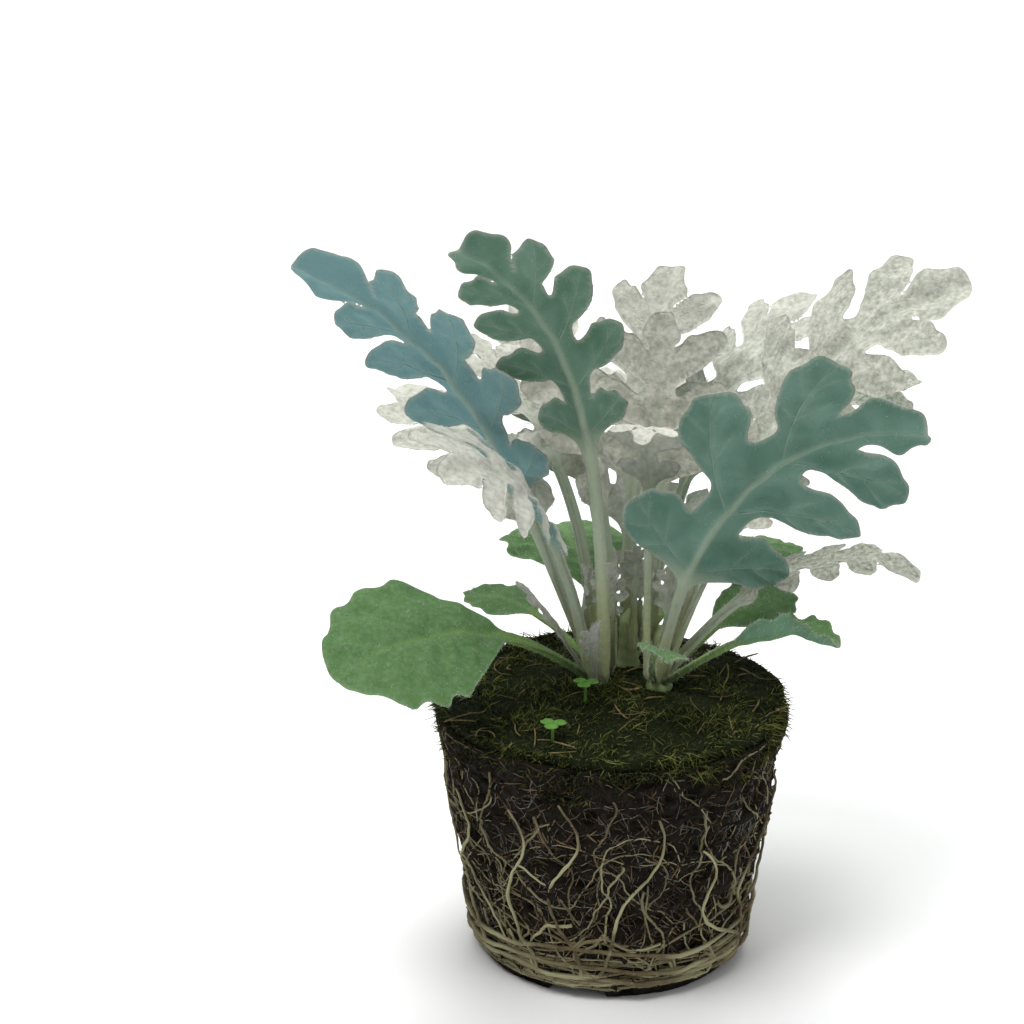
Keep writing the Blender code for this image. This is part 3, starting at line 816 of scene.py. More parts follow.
@dataclass(frozen=True)
class Moss:
    """The moss mat on the soil, its strands and the litter on it."""

    radius: float = 41.2 * MM
    rim: float = 2.2 * MM
    mound: float = 1.4 * MM
    tuft: float = 0.8 * MM
    strands: int = 13800
    hanging: int = 5400
    crowning: int = 1100
    overhang: float = 12.0 * MM
    bits: int = 70

    def height(self, x: Array, y: Array) -> Array:
        """Top of the mat: a low mound with tufts.

        Args:
            x: places across.
            y: places in depth.

        Returns:
            The height at each place.
        """
        share = np.minimum(1.0, np.hypot(x, y) / self.radius)
        spots = np.stack([x, y, 0.0 * x], axis=-1)
        tufts = 0.6 * fractal(spots, 5.0 * MM, 3, 31) + 0.3 * fractal(spots, 1.6 * MM, 2, 33)
        return PLUG.height + GAP + self.rim + self.mound * (1.0 - share**2) + self.tuft * tufts

    def build_mat(self) -> None:
        """The mat: rings from the centre over the rim to the underside."""
        sides, rings = 260, 70
        share = np.sin(0.5 * np.pi * np.linspace(0.002, 1.0, rings))
        turn, wide = np.meshgrid(2.0 * np.pi * np.arange(sides) / sides, share * self.radius)
        wide = wide * (1.0 + 0.012 * np.sin(7 * turn) * smooth(wide / self.radius))
        x, y = wide * np.cos(turn), wide * np.sin(turn)
        top = np.stack([x, y, self.height(x, y)], axis=-1)
        under = top[-1:] * 0.985 * LEVEL + np.array([0.0, 0.0, PLUG.height + 0.1 * MM])
        points = np.concatenate([top, under])
        index = np.arange((rings + 1) * sides).reshape(-1, sides)
        faces = [ring_quads(index), index[0][None], index[-1][None, ::-1]]
        piece = add_mesh("moss_mat_top", points.reshape(-1, 3), faces, Finish.MOSS.material, "moss")
        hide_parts("moss_mat")

    def scattered(self, count: int, draw: np.random.Generator) -> Array:
        """(count, 3) even random spots on the mat.

        Args:
            count: how many spots.
            draw: random numbers.

        Returns:
            The spots.
        """
        wide = self.radius * np.sqrt(draw.random(count)) * 0.995
        turn = draw.uniform(0, 2 * np.pi, count)
        x, y = wide * np.cos(turn), wide * np.sin(turn)
        return np.stack([x, y, self.height(x, y)], axis=-1)

    def feet(self, draw: np.random.Generator) -> Array:
        """(strands, 3) feet: first those that hang over the rim, then those round the shoots.

        Args:
            draw: random numbers.

        Returns:
            The feet.
        """
        foot = self.scattered(self.strands, draw)
        azimuth = draw.uniform(0, 360, self.hanging)
        swags = 0.4 + 0.6 * np.sin(np.radians(azimuth * 3 + 40)) ** 2
        fall = draw.random(self.hanging) ** 1.7 * swags
        low = PLUG.height + self.rim + 0.4 * MM - self.overhang * fall
        out = np.where(low > PLUG.height, -0.6, 0.3) * MM
        foot[:self.hanging] = PLUG.spot(azimuth, low, out)
        crown = np.arange(self.hanging, self.hanging + self.crowning)
        stems = np.array([[shoot.x, shoot.y] for shoot in SHOOTS.values()])[crown % len(SHOOTS)]
        turn = draw.uniform(0, 2 * np.pi, self.crowning)
        away = draw.uniform(3.4, 7.5, self.crowning) * MM
        x, y = (stems + away[:, None] * np.column_stack([np.cos(turn), np.sin(turn)])).T
        foot[crown] = np.stack([x, y, self.height(x, y)], axis=-1)
        return foot

    def build_strands(self) -> None:
        """Short bent spikes, taller in clumps, upright on the mat and leaning out at its rim."""
        draw, count = np.random.default_rng(41), self.strands
        foot = self.feet(draw)
        clumps = smooth(0.5 + 0.9 * fractal(foot, 6.0 * MM, 2, 44))
        tall = 0.9 + 3.2 * clumps * draw.random(count) ** 1.5 + 0.5 * draw.random(count)
        near_rim = smooth((np.linalg.norm(foot[:, :2], axis=1) / self.radius - 0.8) * 5)
        lean = draw.normal(0.0, 0.6, (count, 2)) + 0.55 * foot[:, :2] / self.radius * near_rim[:, None]
        rise = np.where(np.arange(count) < self.hanging, draw.normal(-0.1, 0.5, count), 1.0)
        along = unit(np.column_stack([lean, rise]))[:, None]
        bend = np.column_stack([draw.normal(0.0, 0.55, (count, 2)), -0.25 * draw.random(count)])
        share = np.array([0.0, 0.5, 1.0])[None, :, None]
        course = along * share + bend[:, None] * share**2
        paths = foot[:, None] - along * 0.5 * MM + (tall * MM)[:, None, None] * course
        radii = draw.uniform(0.09, 0.21, (count, 1)) * MM * np.array([1.0, 0.8, 0.08])
        tones = np.clip(draw.random(count) ** 2.2 * (0.4 + 0.8 * clumps), 0, 1)
        hint = np.array([0.3, 0.9, 0.1])
        add_tubes("moss_strands", paths, radii, 3, hint, Finish.STRAND.material, "moss", tones)

    def build_litter(self) -> None:
        """Dry bent bits of straw on the mat."""
        draw, count = np.random.default_rng(47), self.bits
        middle = self.scattered(count, draw) + np.array([0.0, 0.0, 0.9 * MM])
        turn = draw.uniform(0, np.pi, count)
        along = unit(np.column_stack([np.cos(turn), np.sin(turn), draw.normal(0, 0.22, count)]))
        reach = draw.uniform(1.2, 4.6, (count, 1, 1)) * MM
        share = np.linspace(-1.0, 1.0, 5)[None, :, None]
        bow = draw.normal(0.0, 0.25, (count, 1, 3)) * np.array([1.0, 1.0, 0.4])
        paths = middle[:, None] + reach * (along[:, None] * share + bow * share**2)
        radii = draw.uniform(0.08, 0.26, (count, 1)) * MM * np.array([0.7, 1.0, 1.0, 0.9, 0.5])
        hint = np.array([0.1, 0.1, 1.0])
        add_tubes("straw_bits", paths, radii, 5, hint, Finish.STRAW.material, "moss")

    def build(self) -> None:
        """The mat with all that grows and lies on it."""
        self.build_mat()
        self.build_strands()
        self.build_litter()


MOSS = Moss()


# Shoots and leaves


@dataclass(frozen=True)
class Shoot:
    """A short stout stem on the soil, flared at its foot."""

    name: str
    x: float
    y: float
    height: float
    radius: float = 2.6 * MM
    flare: float = 0.45
    taper: float = 0.10

    def build(self) -> None:
        """A stem with leaf-scar rings, rounded off at its growing tip."""
        share, ones = np.linspace(0.0, 1.0, 40), np.ones(40)
        z = PLUG.height + GAP + self.height * share
        path = np.column_stack([self.x * ones, self.y * ones, z])
        wide = 1.0 - self.taper * share + self.flare * (1.0 - smooth(share / 0.42))
        rounded = np.sqrt(1.0 - smooth((share - 0.80) / 0.20) * 0.95)
        radii = self.radius * wide * rounded * (1.0 + 0.03 * np.sin(share * 38)) - 0.05 * MM
        name, hint = self.name + "_stem", np.array([0.0, 1.0, 0.0])
        piece = add_tubes(name, path[None], radii[None], 28, hint, Finish.STALK.material, "stalk")
        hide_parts(self.name)


SHOOTS = {
    "left": Shoot("shoot_left", -3.0 * MM, 2.0 * MM, 19 * MM),
    "right": Shoot("shoot_right", 11.5 * MM, 1.0 * MM, 19 * MM),
    "back": Shoot("shoot_back", 4.0 * MM, 15.0 * MM, 18 * MM),
}


class Kind(Enum):
    """Kinds of leaf."""

    SILVER = "silver"
    BROAD = "broad"


@dataclass(frozen=True)
class LeafShape:
    """One leaf's place and form, in degrees and mm, as in the solids.

    Only leaf_front_right is rolled, folded and curled more than its solid.

    base is the azimuth of the foot on the shoot and level its storey; rise and droop are the
    slopes of the rib at foot and tip; roll turns the blade about its rib, fold lifts the two
    halves, curl bends their margins. bare says how much green shows through the felt, and blue
    how blue the lower face is. solid says that a solid stands for the leaf.
    """

    name: str
    kind: Kind
    shoot: str
    base: float
    level: int
    tip: tuple[float, float, float]
    rise: float
    droop: float
    blade: float
    half: float
    roll: float
    fold: float
    curl: float
    bare: float = 0.3
    blue: float = 0.5
    solid: bool = True


S, B = Kind.SILVER, Kind.BROAD
LEAVES = tuple(
    LeafShape("leaf_" + name, *rest)
    for name, *rest in (
        ("long_left", S, "left", 168, 2, (-72, -12, 169), 68, 24, 78, 17, 44, 12, -18, 0.4, 0.9),
        ("white_left", S, "left", -136, 1, (-37, -39, 127), 76, -14, 48, 20, -30, 6, -12, 0.0, 0.6),
        ("young_left", S, "left", 112, 3, (-37, 29, 144), 82, 30, 38, 12, 0, 12, -10, 0.2, 0.5),
        ("feather", S, "left", 40, 3, (-20, 15, 157), 86, 62, 52, 15.5, 8, 6, -24, 0.15, 0.5),
        ("spike", S, "left", -72, 3, (-34, -29, 176), 84, 26, 62, 15, 46, 18, -12, 0.5, 0.0),
        ("green_left", B, "left", -150, 0, (-62, -40, 82), 40, -18, 48, 19, -26, 4, -10, 0.5, 0.2),
        ("baby_left", S, "left", 163, 0, (-23, 0, 91), 56, 40, 19, 6, 0, 10, -20, 0.1, 0.4),
        ("baby_front", S, "left", -100, 0, (-4, -13, 86), 60, 60, 12, 3.6, 40, 24, 10, 0.2, 0.4),
        ("back_left", S, "left", 118, 1, (-56, 46, 126), 60, 10, 54, 18, 0, 8, -16, 0.3, 0.7),
        ("low_left", B, "left", 116, 0, (-36, 30, 79), 30, 0, 22, 9, 0, 6, -10, 0.5, 0.3),
        ("big_right", S, "right", -84, 2, (66, -38, 139), 72, 2, 76, 25, -58, 8, -12, 0.35, 0.15),
        ("oak", S, "right", 122, 3, (11, 13, 154), 86, 74, 40, 15, 0, 6, -14, 0.45, 0.4),
        ("curled", S, "right", -150, 3, (6, -17, 130), 88, -34, 24, 9, 0, 10, -12, 0.0, 0.4),
        ("grey_right", S, "right", 22, 3, (80, 2, 163), 72, 16, 70, 21, 34, 8, -12, 0.6, 0.3),
        ("dark_right", S, "right", 80, 2, (73, 30, 134), 62, 0, 54, 17, 10, 8, -16, 1.0, 0.2),
        ("green_right", S, "right", 6, 1, (70, -9, 96), 54, -34, 46, 9, 8, 10, -16, 1.0, 0.8),
        ("low_right", B, "right", -52, 0, (51, -26, 86), 38, -18, 28, 8, -12, 14, 10, 0.5, 0.4),
        ("small_right", S, "right", -32, 2, (45, 3, 112), 70, 0, 24, 7.5, 0, 8, -16, 0.6, 0.4),
        ("round_right", B, "right", 44, 0, (44, 22, 82), 32, -8, 24, 11, 4, 8, -12, 0.4, 0.2),
        ("front_right", B, "right", -116, 0, (12, -30, 83), 38, -10, 14, 6, -16, 34, -30, 0.4, 0.2),
        ("back_tall", S, "back", 92, 3, (14, 38, 160), 86, 50, 54, 19, 0, 8, -16, 0.3, 0.3),
        ("back_mid", S, "back", 150, 2, (-26, 54, 148), 76, 26, 54, 19, 0, 8, -16, 0.3, 0.4),
        ("back_fan", S, "back", 22, 2, (48, 44, 152), 74, 26, 56, 19, 0, 8, -16, 0.4, 0.2),
        ("back_far", S, "back", 100, 1, (10, 76, 126), 62, 2, 56, 20, 0, 8, -16, 0.3, 0.3),
        ("back_low", B, "back", 134, 0, (-16, 74, 82), 36, -14, 44, 18, 0, 6, -16, 0.5, 0.3),
        ("back_right", S, "back", 34, 1, (56, 60, 114), 56, 0, 50, 17, 0, 8, -16, 0.5, 0.3),
        ("back_green", B, "back", 60, 0, (46, 66, 80), 34, -12, 36, 15, 0, 6, -16, 0.5, 0.3),
    )
)


def young_leaves() -> Iterator[LeafShape]:
    """Three small felted leaves at each growing tip, too small for solids of their own.

    Returns:
        Their shapes, shoot by shoot.
    """
    for name, shoot in SHOOTS.items():
        for n in range(3):
            base, out = 125.0 * n + 40.0, 3.4 + 1.3 * n
            turn = math.radians(base)
            x, y = shoot.x / MM + out * math.cos(turn), shoot.y / MM + out * math.sin(turn)
            yield LeafShape(
                f"young_{name}_{n}", S, name, base, 4, (x, y, 92.0 + 3.0 * n), rise=82, droop=66,
                blade=10.0 + n, half=3.8, roll=0, fold=20, curl=8, bare=0.0, blue=0.0, solid=False,
            )


class Rib:
    """A leaf's centre line, a cubic curve by length, and the bent surface along it."""

    SEAT = 2.6 * MM + GAP + 0.05 * MM
    LOWEST, STOREY = 68.2, 3.0
    STALK_RIM = 0.5 * MM
    BLADE_RIM = 0.36 * MM
    FULL_BLADE = 34.0
    FOOT_PULL, TIP_PULL = 0.45, 0.36
    STEPS = 401
    MARGIN_RIPPLE = 0.05

    def __init__(self, shape: LeafShape) -> None:
        """Works out the curve from the leaf's seat on its shoot to its tip.

        Args:
            shape: the leaf that the rib belongs to.
        """
        self.shape = shape
        shoot = SHOOTS[shape.shoot]
        base, rise, droop = (math.radians(v) for v in (shape.base, shape.rise, shape.droop))
        self.seat_outward = np.array([math.cos(base), math.sin(base), 0.0])
        seat = self.SEAT + self.STALK_RIM * math.sin(rise)
        axis = np.array([shoot.x, shoot.y, (self.LOWEST + self.STOREY * shape.level) * MM])
        foot = axis + seat * self.seat_outward
        tip = np.array(shape.tip) * MM
        span = tip - foot
        self.outward = unit(span * LEVEL)
        start = (self.seat_outward + self.outward) * 0.5 * math.cos(rise)
        start = unit(start + UP * math.sin(rise))
        end = self.outward * math.cos(droop) + UP * math.sin(droop)
        reach = np.linalg.norm(span)
        near, far = foot + start * reach * self.FOOT_PULL, tip - end * reach * self.TIP_PULL
        t = np.linspace(0.0, 1.0, self.STEPS)[:, None]
        s = 1.0 - t
        self.spots = s**3 * foot + 3 * s * s * t * near + 3 * s * t * t * far + t**3 * tip
        steps = np.linalg.norm(np.diff(self.spots, axis=0), axis=1)
        self.marks = np.concatenate([[0.0], np.cumsum(steps)])
        self.ways = unit(np.gradient(self.spots, axis=0))
        self.length = float(self.marks[-1])
        self.blade_start = max(self.length - shape.blade * MM, 0.12 * self.length)
        self.blade = self.length - self.blade_start
        self.small = max(0.55, min(1.0, shape.blade / self.FULL_BLADE))

    def along(self, table: Array, u: Array) -> Array:
        """Rows of a table of vectors, read off at lengths u."""
        return np.stack([np.interp(u, self.marks, table[:, k]) for k in range(3)], axis=-1)

    def surface(self, u: Array, v: Array, lift: Array | float = 0.0) -> Array:
        """Points of the leaf's middle surface.

        The halves fold up at the rib and their margins curl by the share of the half width;
        the blade turns about its rib by the roll, and a ripple runs along its margin.

        Args:
            u: lengths along the rib.
            v: distances across it.
            lift: extra height above the surface.

        Returns:
            (N, 3) points.
        """
        shape = self.shape
        held = np.clip(u, 0.0, self.length)
        here, along = self.along(self.spots, held), unit(self.along(self.ways, held))
        here = here + along * (u - held)[..., None]
        turned = np.clip(u / self.blade_start - 0.1, 0.0, 1.0)[..., None]
        up = UP - 0.6 * (self.seat_outward * (1 - turned) + self.outward * turned)
        up = unit(up - along * np.sum(up * along, axis=-1, keepdims=True))
        turn = math.radians(shape.roll) * smooth((u / self.blade_start - 0.35) / 0.65)[..., None]
        up = up * np.cos(turn) + np.cross(along, up) * np.sin(turn)
        side = np.cross(along, up)
        ease = np.clip((u - 0.8 * self.blade_start) / (0.3 * self.blade_start), 0.0, 1.0)
        width = shape.half * MM
        bend = np.radians(shape.fold + shape.curl * np.abs(v) / width) * ease
        ripple = self.MARGIN_RIPPLE * width * ease * (v / width) ** 2
        ripple = ripple * np.sin(2.0 * np.pi * (u - self.blade_start) / (1.1 * width) + (v > 0))
        high = np.abs(v) * np.sin(bend) + ripple + lift
        return here + side * (v * np.cos(bend))[..., None] + up * high[..., None]


def chaikin(outline: Array, rounds: int) -> Array:
    """A closed outline with its corners cut, so that it turns into a smooth curve.

    Args:
        outline: (N, 2) corners.
        rounds: how many times they are cut.

    Returns:
        The outline, with twice as many corners after each round.
    """
    for _ in range(rounds):
        after = np.roll(outline, -1, axis=0)
        cut = [0.75 * outline + 0.25 * after, 0.25 * outline + 0.75 * after]
        outline = np.stack(cut, axis=1).reshape(-1, 2)
    return outline


def inside(outline: Array, points: Array) -> Array:
    """Which points lie in a closed outline, by counting the edges to their right.

    Args:
        outline: (N, 2) corners.
        points: (..., 2) points.

    Returns:
        True where a point is inside.
    """
    a, b = outline, np.roll(outline, -1, axis=0)
    u, v = points[..., None, 0], points[..., None, 1]
    crosses = (a[:, 1] > v) != (b[:, 1] > v)
    rise = np.where(np.abs(b[:, 1] - a[:, 1]) < 1e-12, 1e-12, b[:, 1] - a[:, 1])
    meets = a[:, 0] + (v - a[:, 1]) * (b[:, 0] - a[:, 0]) / rise
    return (crosses & (u < meets)).sum(axis=-1) % 2 == 1


def nearest(points: Array, a: Array, b: Array) -> tuple[Array, Array]:
    """Nearest spot of the segments from a to b to each point, and its distance.

    Args:
        points: (N, 2) points.
        a: (M, 2) starts of the segments.
        b: (M, 2) ends of the segments.

    Returns:
        (N, 2) nearest spots and (N,) distances.
    """
    run = b - a
    share = np.sum((points[:, None] - a) * run, axis=-1)
    share = share / np.maximum(np.sum(run * run, axis=-1), 1e-18)
    spots = a + np.clip(share, 0.0, 1.0)[..., None] * run
    away = np.linalg.norm(points[:, None] - spots, axis=-1)
    pick = np.argmin(away, axis=1)
    rows = np.arange(len(points))
    return spots[rows, pick], away[rows, pick]


class Leaf:
    """One leaf: its plan, its blade and stalk as one skin, its veins and its hairs."""

    # One lobe as (out along it, across it), in shares of its length and half width.
    LOBE_SHAPE = np.array([
        (0.36, -0.74), (0.70, -1.0), (0.84, -0.66), (1.00, -0.46),
        (1.00, 0.40), (0.85, 0.62), (0.74, 1.0), (0.42, 0.78),
    ])
    LOBE_PROFILE = {3: (0.80, 1.0, 0.82), 4: (0.66, 0.98, 0.94, 0.72)}
    LOBED_SHARE = 0.76
    # The tip as (along, across), in shares of the blade.
    TIP_SHAPE = np.array([(0.80, 0.07), (0.86, 0.125), (0.915, 0.085), (0.985, 0.07)])
    YOUNG_BLADE = 26
    CUP, PUCKER, WRINKLE = 1.35 * MM, 0.75 * MM, 0.12 * MM
    HAIR_RADIUS = 0.038 * MM

    def __init__(self, shape: LeafShape, seed: int) -> None:
        """Works out the rib, and names the finish and the slot by the kind of leaf.

        Args:
            shape: the leaf's measures.
            seed: start of its random draws.
        """
        self.shape = shape
        self.rib = Rib(shape)
        self.draw = np.random.default_rng(seed)
        self.silver = shape.kind is Kind.SILVER
        self.finish = Finish.SILVER.material if self.silver else Finish.GREEN.material
        self.slot = "felt" if self.silver else "green_leaf"
        self.half = shape.half * MM

    @property
    def tuck(self) -> float:
        """Length by which the stalk runs on below its foot, down the shoot to the moss."""
        return (3.2 + 2.2 * self.shape.level) * MM

    @property
    def bareness(self) -> float:
        """How bare the lower face is: felt still covers it on young silver leaves."""
        return 0.2 if self.silver and self.shape.blade < self.YOUNG_BLADE else 1.0

    @property
    def reaches(self) -> tuple[float, ...]:
        """Share of the half width that each lobe reaches: three on short and on wide blades."""
        return self.LOBE_PROFILE[4 if self.shape.blade > 45 and self.shape.half < 24 else 3]

    @property
    def lobe_step(self) -> float:
        """Length of rib that each lobe has."""
        return self.rib.blade * self.LOBED_SHARE / len(self.reaches)

    def lobes(self) -> Iterator[tuple[float, float, float]]:
        """Root, slant and reach of each lobe on one side of a lobed blade.

        Returns:
            For each lobe its root along the blade, its slant in radians and its length.
        """
        last = len(self.reaches) - 1
        for n, reach in enumerate(self.reaches):
            slant = math.radians(62 - 18 * n / last)
            root = 0.05 * self.rib.blade + self.lobe_step * n
            yield root, slant, self.half * reach / math.sin(slant)

    def half_outline(self) -> Array:
        """One side of the blade as (along, across), from its base to its tip.

        Returns:
            (N, 2) spots.
        """
        blade, half = self.rib.blade, self.half
        if not self.silver:
            n = np.arange(1, 24)
            s = n / 24
            wide = half * np.sin(np.pi * s**1.25) ** 0.72
            tooth = np.where(s > 0.4, 0.05 * half * np.where(n // 2 % 2 == 1, 1.0, -1.0), 0.0)
            return np.column_stack([blade * s, wide + tooth])
        rows = []
        out, wide = self.LOBE_SHAPE.T * np.array([[1.0], [0.4 * self.lobe_step]])
        for root, slant, reach in self.lobes():
            if rows:
                rows.append(np.array([[root + 0.02 * blade, 0.075 * blade]]))
            rows.append(np.column_stack([
                root + reach * out * math.cos(slant) + wide * math.sin(slant),
                reach * out * math.sin(slant) - wide * math.cos(slant),
            ]))
        rows.append(self.TIP_SHAPE * blade)
        return np.concatenate(rows)

    def stalk_half_width(self, u: Array) -> Array:
        """Half width of the stalk, wide where it clasps the shoot.

        Args:
            u: places along the leaf, from its foot.

        Returns:
            The half width at each.
        """
        share = np.minimum(1.0, u / (0.3 * self.rib.blade_start))
        size = max(0.5, min(1.0, self.shape.blade / self.rib.FULL_BLADE))
        return (1.7 - 0.2 * share) * MM * size

    def outline(self) -> Array:
        """The whole leaf laid flat, as a smooth closed outline.

        Returns:
            (N, 2) corners.
        """
        start = self.rib.blade_start
        stalk = start * np.array([0.0, 0.2, 0.45, 0.7, 0.97])
        stalk[0] = -self.tuck
        side = np.column_stack([stalk, self.stalk_half_width(stalk)])
        side = np.concatenate([side, self.half_outline() + np.array([start, 0.0])])
        far = np.array([[self.rib.length, 0.0]])
        whole = chaikin(np.concatenate([side, far, side[::-1] * MIRROR]), 1)
        if self.silver:
            loose = smooth((whole[:, :1] - start) / (4 * MM))
            whole = whole + loose * self.draw.normal(0.0, 0.011 * self.half, whole.shape)
        return chaikin(whole, 2)

    def veins(self) -> Iterator[tuple[Array, Array, float]]:
        """Start and end in the plan, and the radius, of the side veins of one half.

        Returns:
            For each vein its start, its end and its radius.
        """
        start, blade = self.rib.blade_start, self.rib.blade
        if not self.silver:
            for s in (0.12, 0.26, 0.4, 0.54, 0.68, 0.8):
                foot = np.array([start + blade * s, 0.0])
                across = 0.72 * self.half * math.sin(math.pi * min(1, s + 0.12))
                yield foot, foot + np.array([0.13 * blade, across]), 0.18 * MM
            return
        for root, slant, reach in self.lobes():
            way = np.array([math.cos(slant), math.sin(slant)])
            out = np.array([math.sin(slant), -math.cos(slant)])
            foot = np.array([start + root - 0.03 * blade, 0.0])
            yield foot, foot + way * reach * 0.93 + np.array([0.03 * blade, 0.0]), 0.24 * MM
            for share, wide in ((0.40, 0.8), (0.40, -0.8), (0.66, 0.55), (0.66, -0.55)):
                origin = foot + way * reach * share
                sideways = out * 0.36 * self.lobe_step * wide
                yield origin, origin + way * reach * 0.24 + sideways, 0.13 * MM

    def vein_lines(self) -> tuple[Array, Array, Array]:
        """Start, end and radius of every side vein, of both halves of the blade.

        Returns:
            (N, 2) starts, (N, 2) ends and (N,) radii.
        """
        foot, end, radius = (np.array(column) for column in zip(*self.veins()))
        a, b = (np.concatenate([side, side * MIRROR]) for side in (foot, end))
        return a, b, np.tile(radius, 2)

    def blade_share(self, u: Array) -> Array:
        """Share of the blade's length at a place along the rib."""
        return np.clip((u - self.rib.blade_start) / self.rib.blade, 0.0, 1.0)

    def relief(self, u: Array, v: Array, veins: tuple[Array, Array, Array]) -> tuple[Array, Array]:
        """Height that the tissue swells by between the veins, and nearness to a vein.

        Args:
            u: places along the leaf, from its foot.
            v: places across it, from the rib.
            veins: starts, ends and radii of the side veins.

        Returns:
            The height in metres, and the nearness from 0 to 1.
        """
        rib = self.rib
        flat = np.column_stack([u, v])
        _, away = nearest(flat, veins[0], veins[1])
        away = np.minimum(away, np.where(u > rib.blade_start, np.abs(v), 1.0))
        ease = smooth((u - rib.blade_start) / (6 * MM)) * rib.small
        cup = self.CUP * (1.0 - bell(away, 3.2 * MM))
        spots = np.column_stack([u, v, np.full_like(u, self.shape.base * MM)])
        pucker = self.PUCKER * fractal(spots, 6.5 * MM, 2, 51)
        pucker = pucker + self.WRINKLE * fractal(spots, 1.7 * MM, 2, 52)
        return ease * (cup + pucker), bell(away, 0.5 * MM) * ease

    def thickness(self, u: Array, v: Array, edge: Array) -> tuple[Array, Array]:
        """Height of the upper and depth of the lower face, from the middle surface.

        The stalk is grooved above and round below, the rib stands out below, and the margin
        is rounded, with a slightly thicker felted rim.

        Args:
            u: places along the leaf, from its foot.
            v: places across it, from the rib.
            edge: distances from the margin.

        Returns:
            The height and the depth at each place.
        """
        rib = self.rib
        blade = smooth((u - 0.93 * rib.blade_start) / (0.14 * rib.blade_start))
        half = self.stalk_half_width(u)
        inward = 1.0 - np.clip(edge / (0.5 * MM), 0.0, 1.0)
        round_off = 0.15 + 0.85 * np.sqrt(np.clip(1.0 - inward**2, 0.0, 1.0))
        rim = rib.BLADE_RIM * 0.85 + 0.10 * MM * bell(edge - 0.9 * MM, 0.5 * MM)
        share = self.blade_share(u)
        across = np.clip(np.abs(v) / half, 0.0, 1.0)
        stalk_up = rib.STALK_RIM * rib.small * (0.35 + 0.9 * smooth(across * 1.3))
        stalk_low = rib.STALK_RIM * rib.small + 0.95 * MM * rib.small * (1.0 - across**2)
        keel = (0.95 + (0.42 - 0.95) * share) * 2.0 * MM * rib.small - 2.0 * rim
        keel_half = 0.85 * MM * rib.small * (1.0 - 0.5 * share)
        blade_low = rim + np.maximum(keel, 0.0) * bell(v, keel_half)
        high = (stalk_up * (1.0 - blade) + rim * blade) * round_off
        low = (stalk_low * (1.0 - blade) + blade_low * blade) * round_off
        return high, low

    def plan(self) -> tuple[Array, Array, list[Array]]:
        """The plan as a grid cut at the outline.

        Returns:
            The spots laid flat, their distances from the margin, and the quads of the upper
            face, the lower face and the walls of the margin. The lower face's spots follow
            the upper face's in the same order.
        """
        rib, outline = self.rib, self.outline()
        widest = np.abs(outline[:, 1]).max()
        step = (0.72 if self.shape.solid else 0.95) * MM
        fine = np.arange(0.0, 2.0 * MM, 0.4 * MM)
        v = np.concatenate([fine, np.arange(2.0 * MM, widest + 2 * step, step)])
        v = np.concatenate([-v[:0:-1], v])
        u = np.arange(-self.tuck - 0.5 * step, rib.length + 2 * step, step)
        middles = np.meshgrid((u[1:] + u[:-1]) / 2, (v[1:] + v[:-1]) / 2, indexing="ij")
        kept = inside(outline, np.stack(middles, axis=-1))
        grid = np.stack(np.meshgrid(u, v, indexing="ij"), axis=-1)
        padded = np.pad(kept, 1)
        around = padded.astype(int)
        around = around[:-1, :-1] + around[1:, :-1] + around[:-1, 1:] + around[1:, 1:]
        used = around > 0
        flat, on_margin = grid[used], around[used] < 4
        spots, edge = nearest(flat, outline, np.roll(outline, -1, axis=0))
        flat = np.where(on_margin[:, None], spots, flat)
        edge = np.where(on_margin, 0.0, edge)
        flat[:, 0] = np.clip(flat[:, 0], -self.tuck, rib.length)
        count = len(flat)
        number = np.full(used.shape, -1)
        number[used] = np.arange(count)
        corners = number[:-1, :-1], number[1:, :-1], number[1:, 1:], number[:-1, 1:]
        top = np.stack([corner[kept] for corner in corners], axis=-1)
        faces = [top[:, ::-1], top + count]
        for near, far, a, b, flip in (
            (padded[:-1, 1:-1], padded[1:, 1:-1], number[:, :-1], number[:, 1:], False),
            (padded[1:-1, :-1], padded[1:-1, 1:], number[:-1, :], number[1:, :], True),
        ):
            for mask, swap in ((near & ~far, flip), (far & ~near, not flip)):
                p, q = (b[mask], a[mask]) if swap else (a[mask], b[mask])
                faces.append(np.stack([q, p, p + count, q + count], axis=-1))
        return flat, edge, faces

    def skin(self) -> tuple[Array, Array, Array]:
        """The blade and stalk: the plan, bent along the rib and raised both ways.

        Returns:
            The skin's points, its normals, and the nearness of each point to the margin.
        """
        rib = self.rib
        flat, edge, faces = self.plan()
        u, v = flat.T
        lift, vein = self.relief(u, v, self.vein_lines())
        here = rib.surface(u, v, lift)
        reach = 0.25 * MM
        normal = unit(np.cross(
            rib.surface(u, v + reach, lift) - rib.surface(u, v - reach, lift),
            rib.surface(u + reach, v, lift) - rib.surface(u - reach, v, lift),
        ))
        high, low = self.thickness(u, v, edge)
        points = np.concatenate([here + normal * high[:, None], here - normal * low[:, None]])
        tissue = smooth((u - 0.9 * rib.blade_start) / (0.1 * rib.blade_start + 5 * MM))
        rib_line = 0.6 * bell(v, 0.85 * MM) * (1.0 - self.blade_share(u))
        attributes = {
            "under": np.repeat([0.0, self.bareness], len(flat)),
            "vein": np.tile(0.45 * vein, 2),
            "rim": np.tile(bell(edge, 0.36 * MM) * tissue, 2),
            "stem": np.tile(1.0 - tissue * (1.0 - rib_line), 2),
            "foot": np.tile(1.0 - smooth(u / (0.55 * rib.blade_start)), 2),
            "bare": np.full(len(points), self.shape.bare),
            "blue": np.full(len(points), self.shape.blue),
        }
        name = self.shape.name + "_skin"
        piece = add_mesh(name, points, [np.concatenate(faces)], self.finish, self.slot, attributes)
        if self.shape.solid:
            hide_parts(self.shape.name)
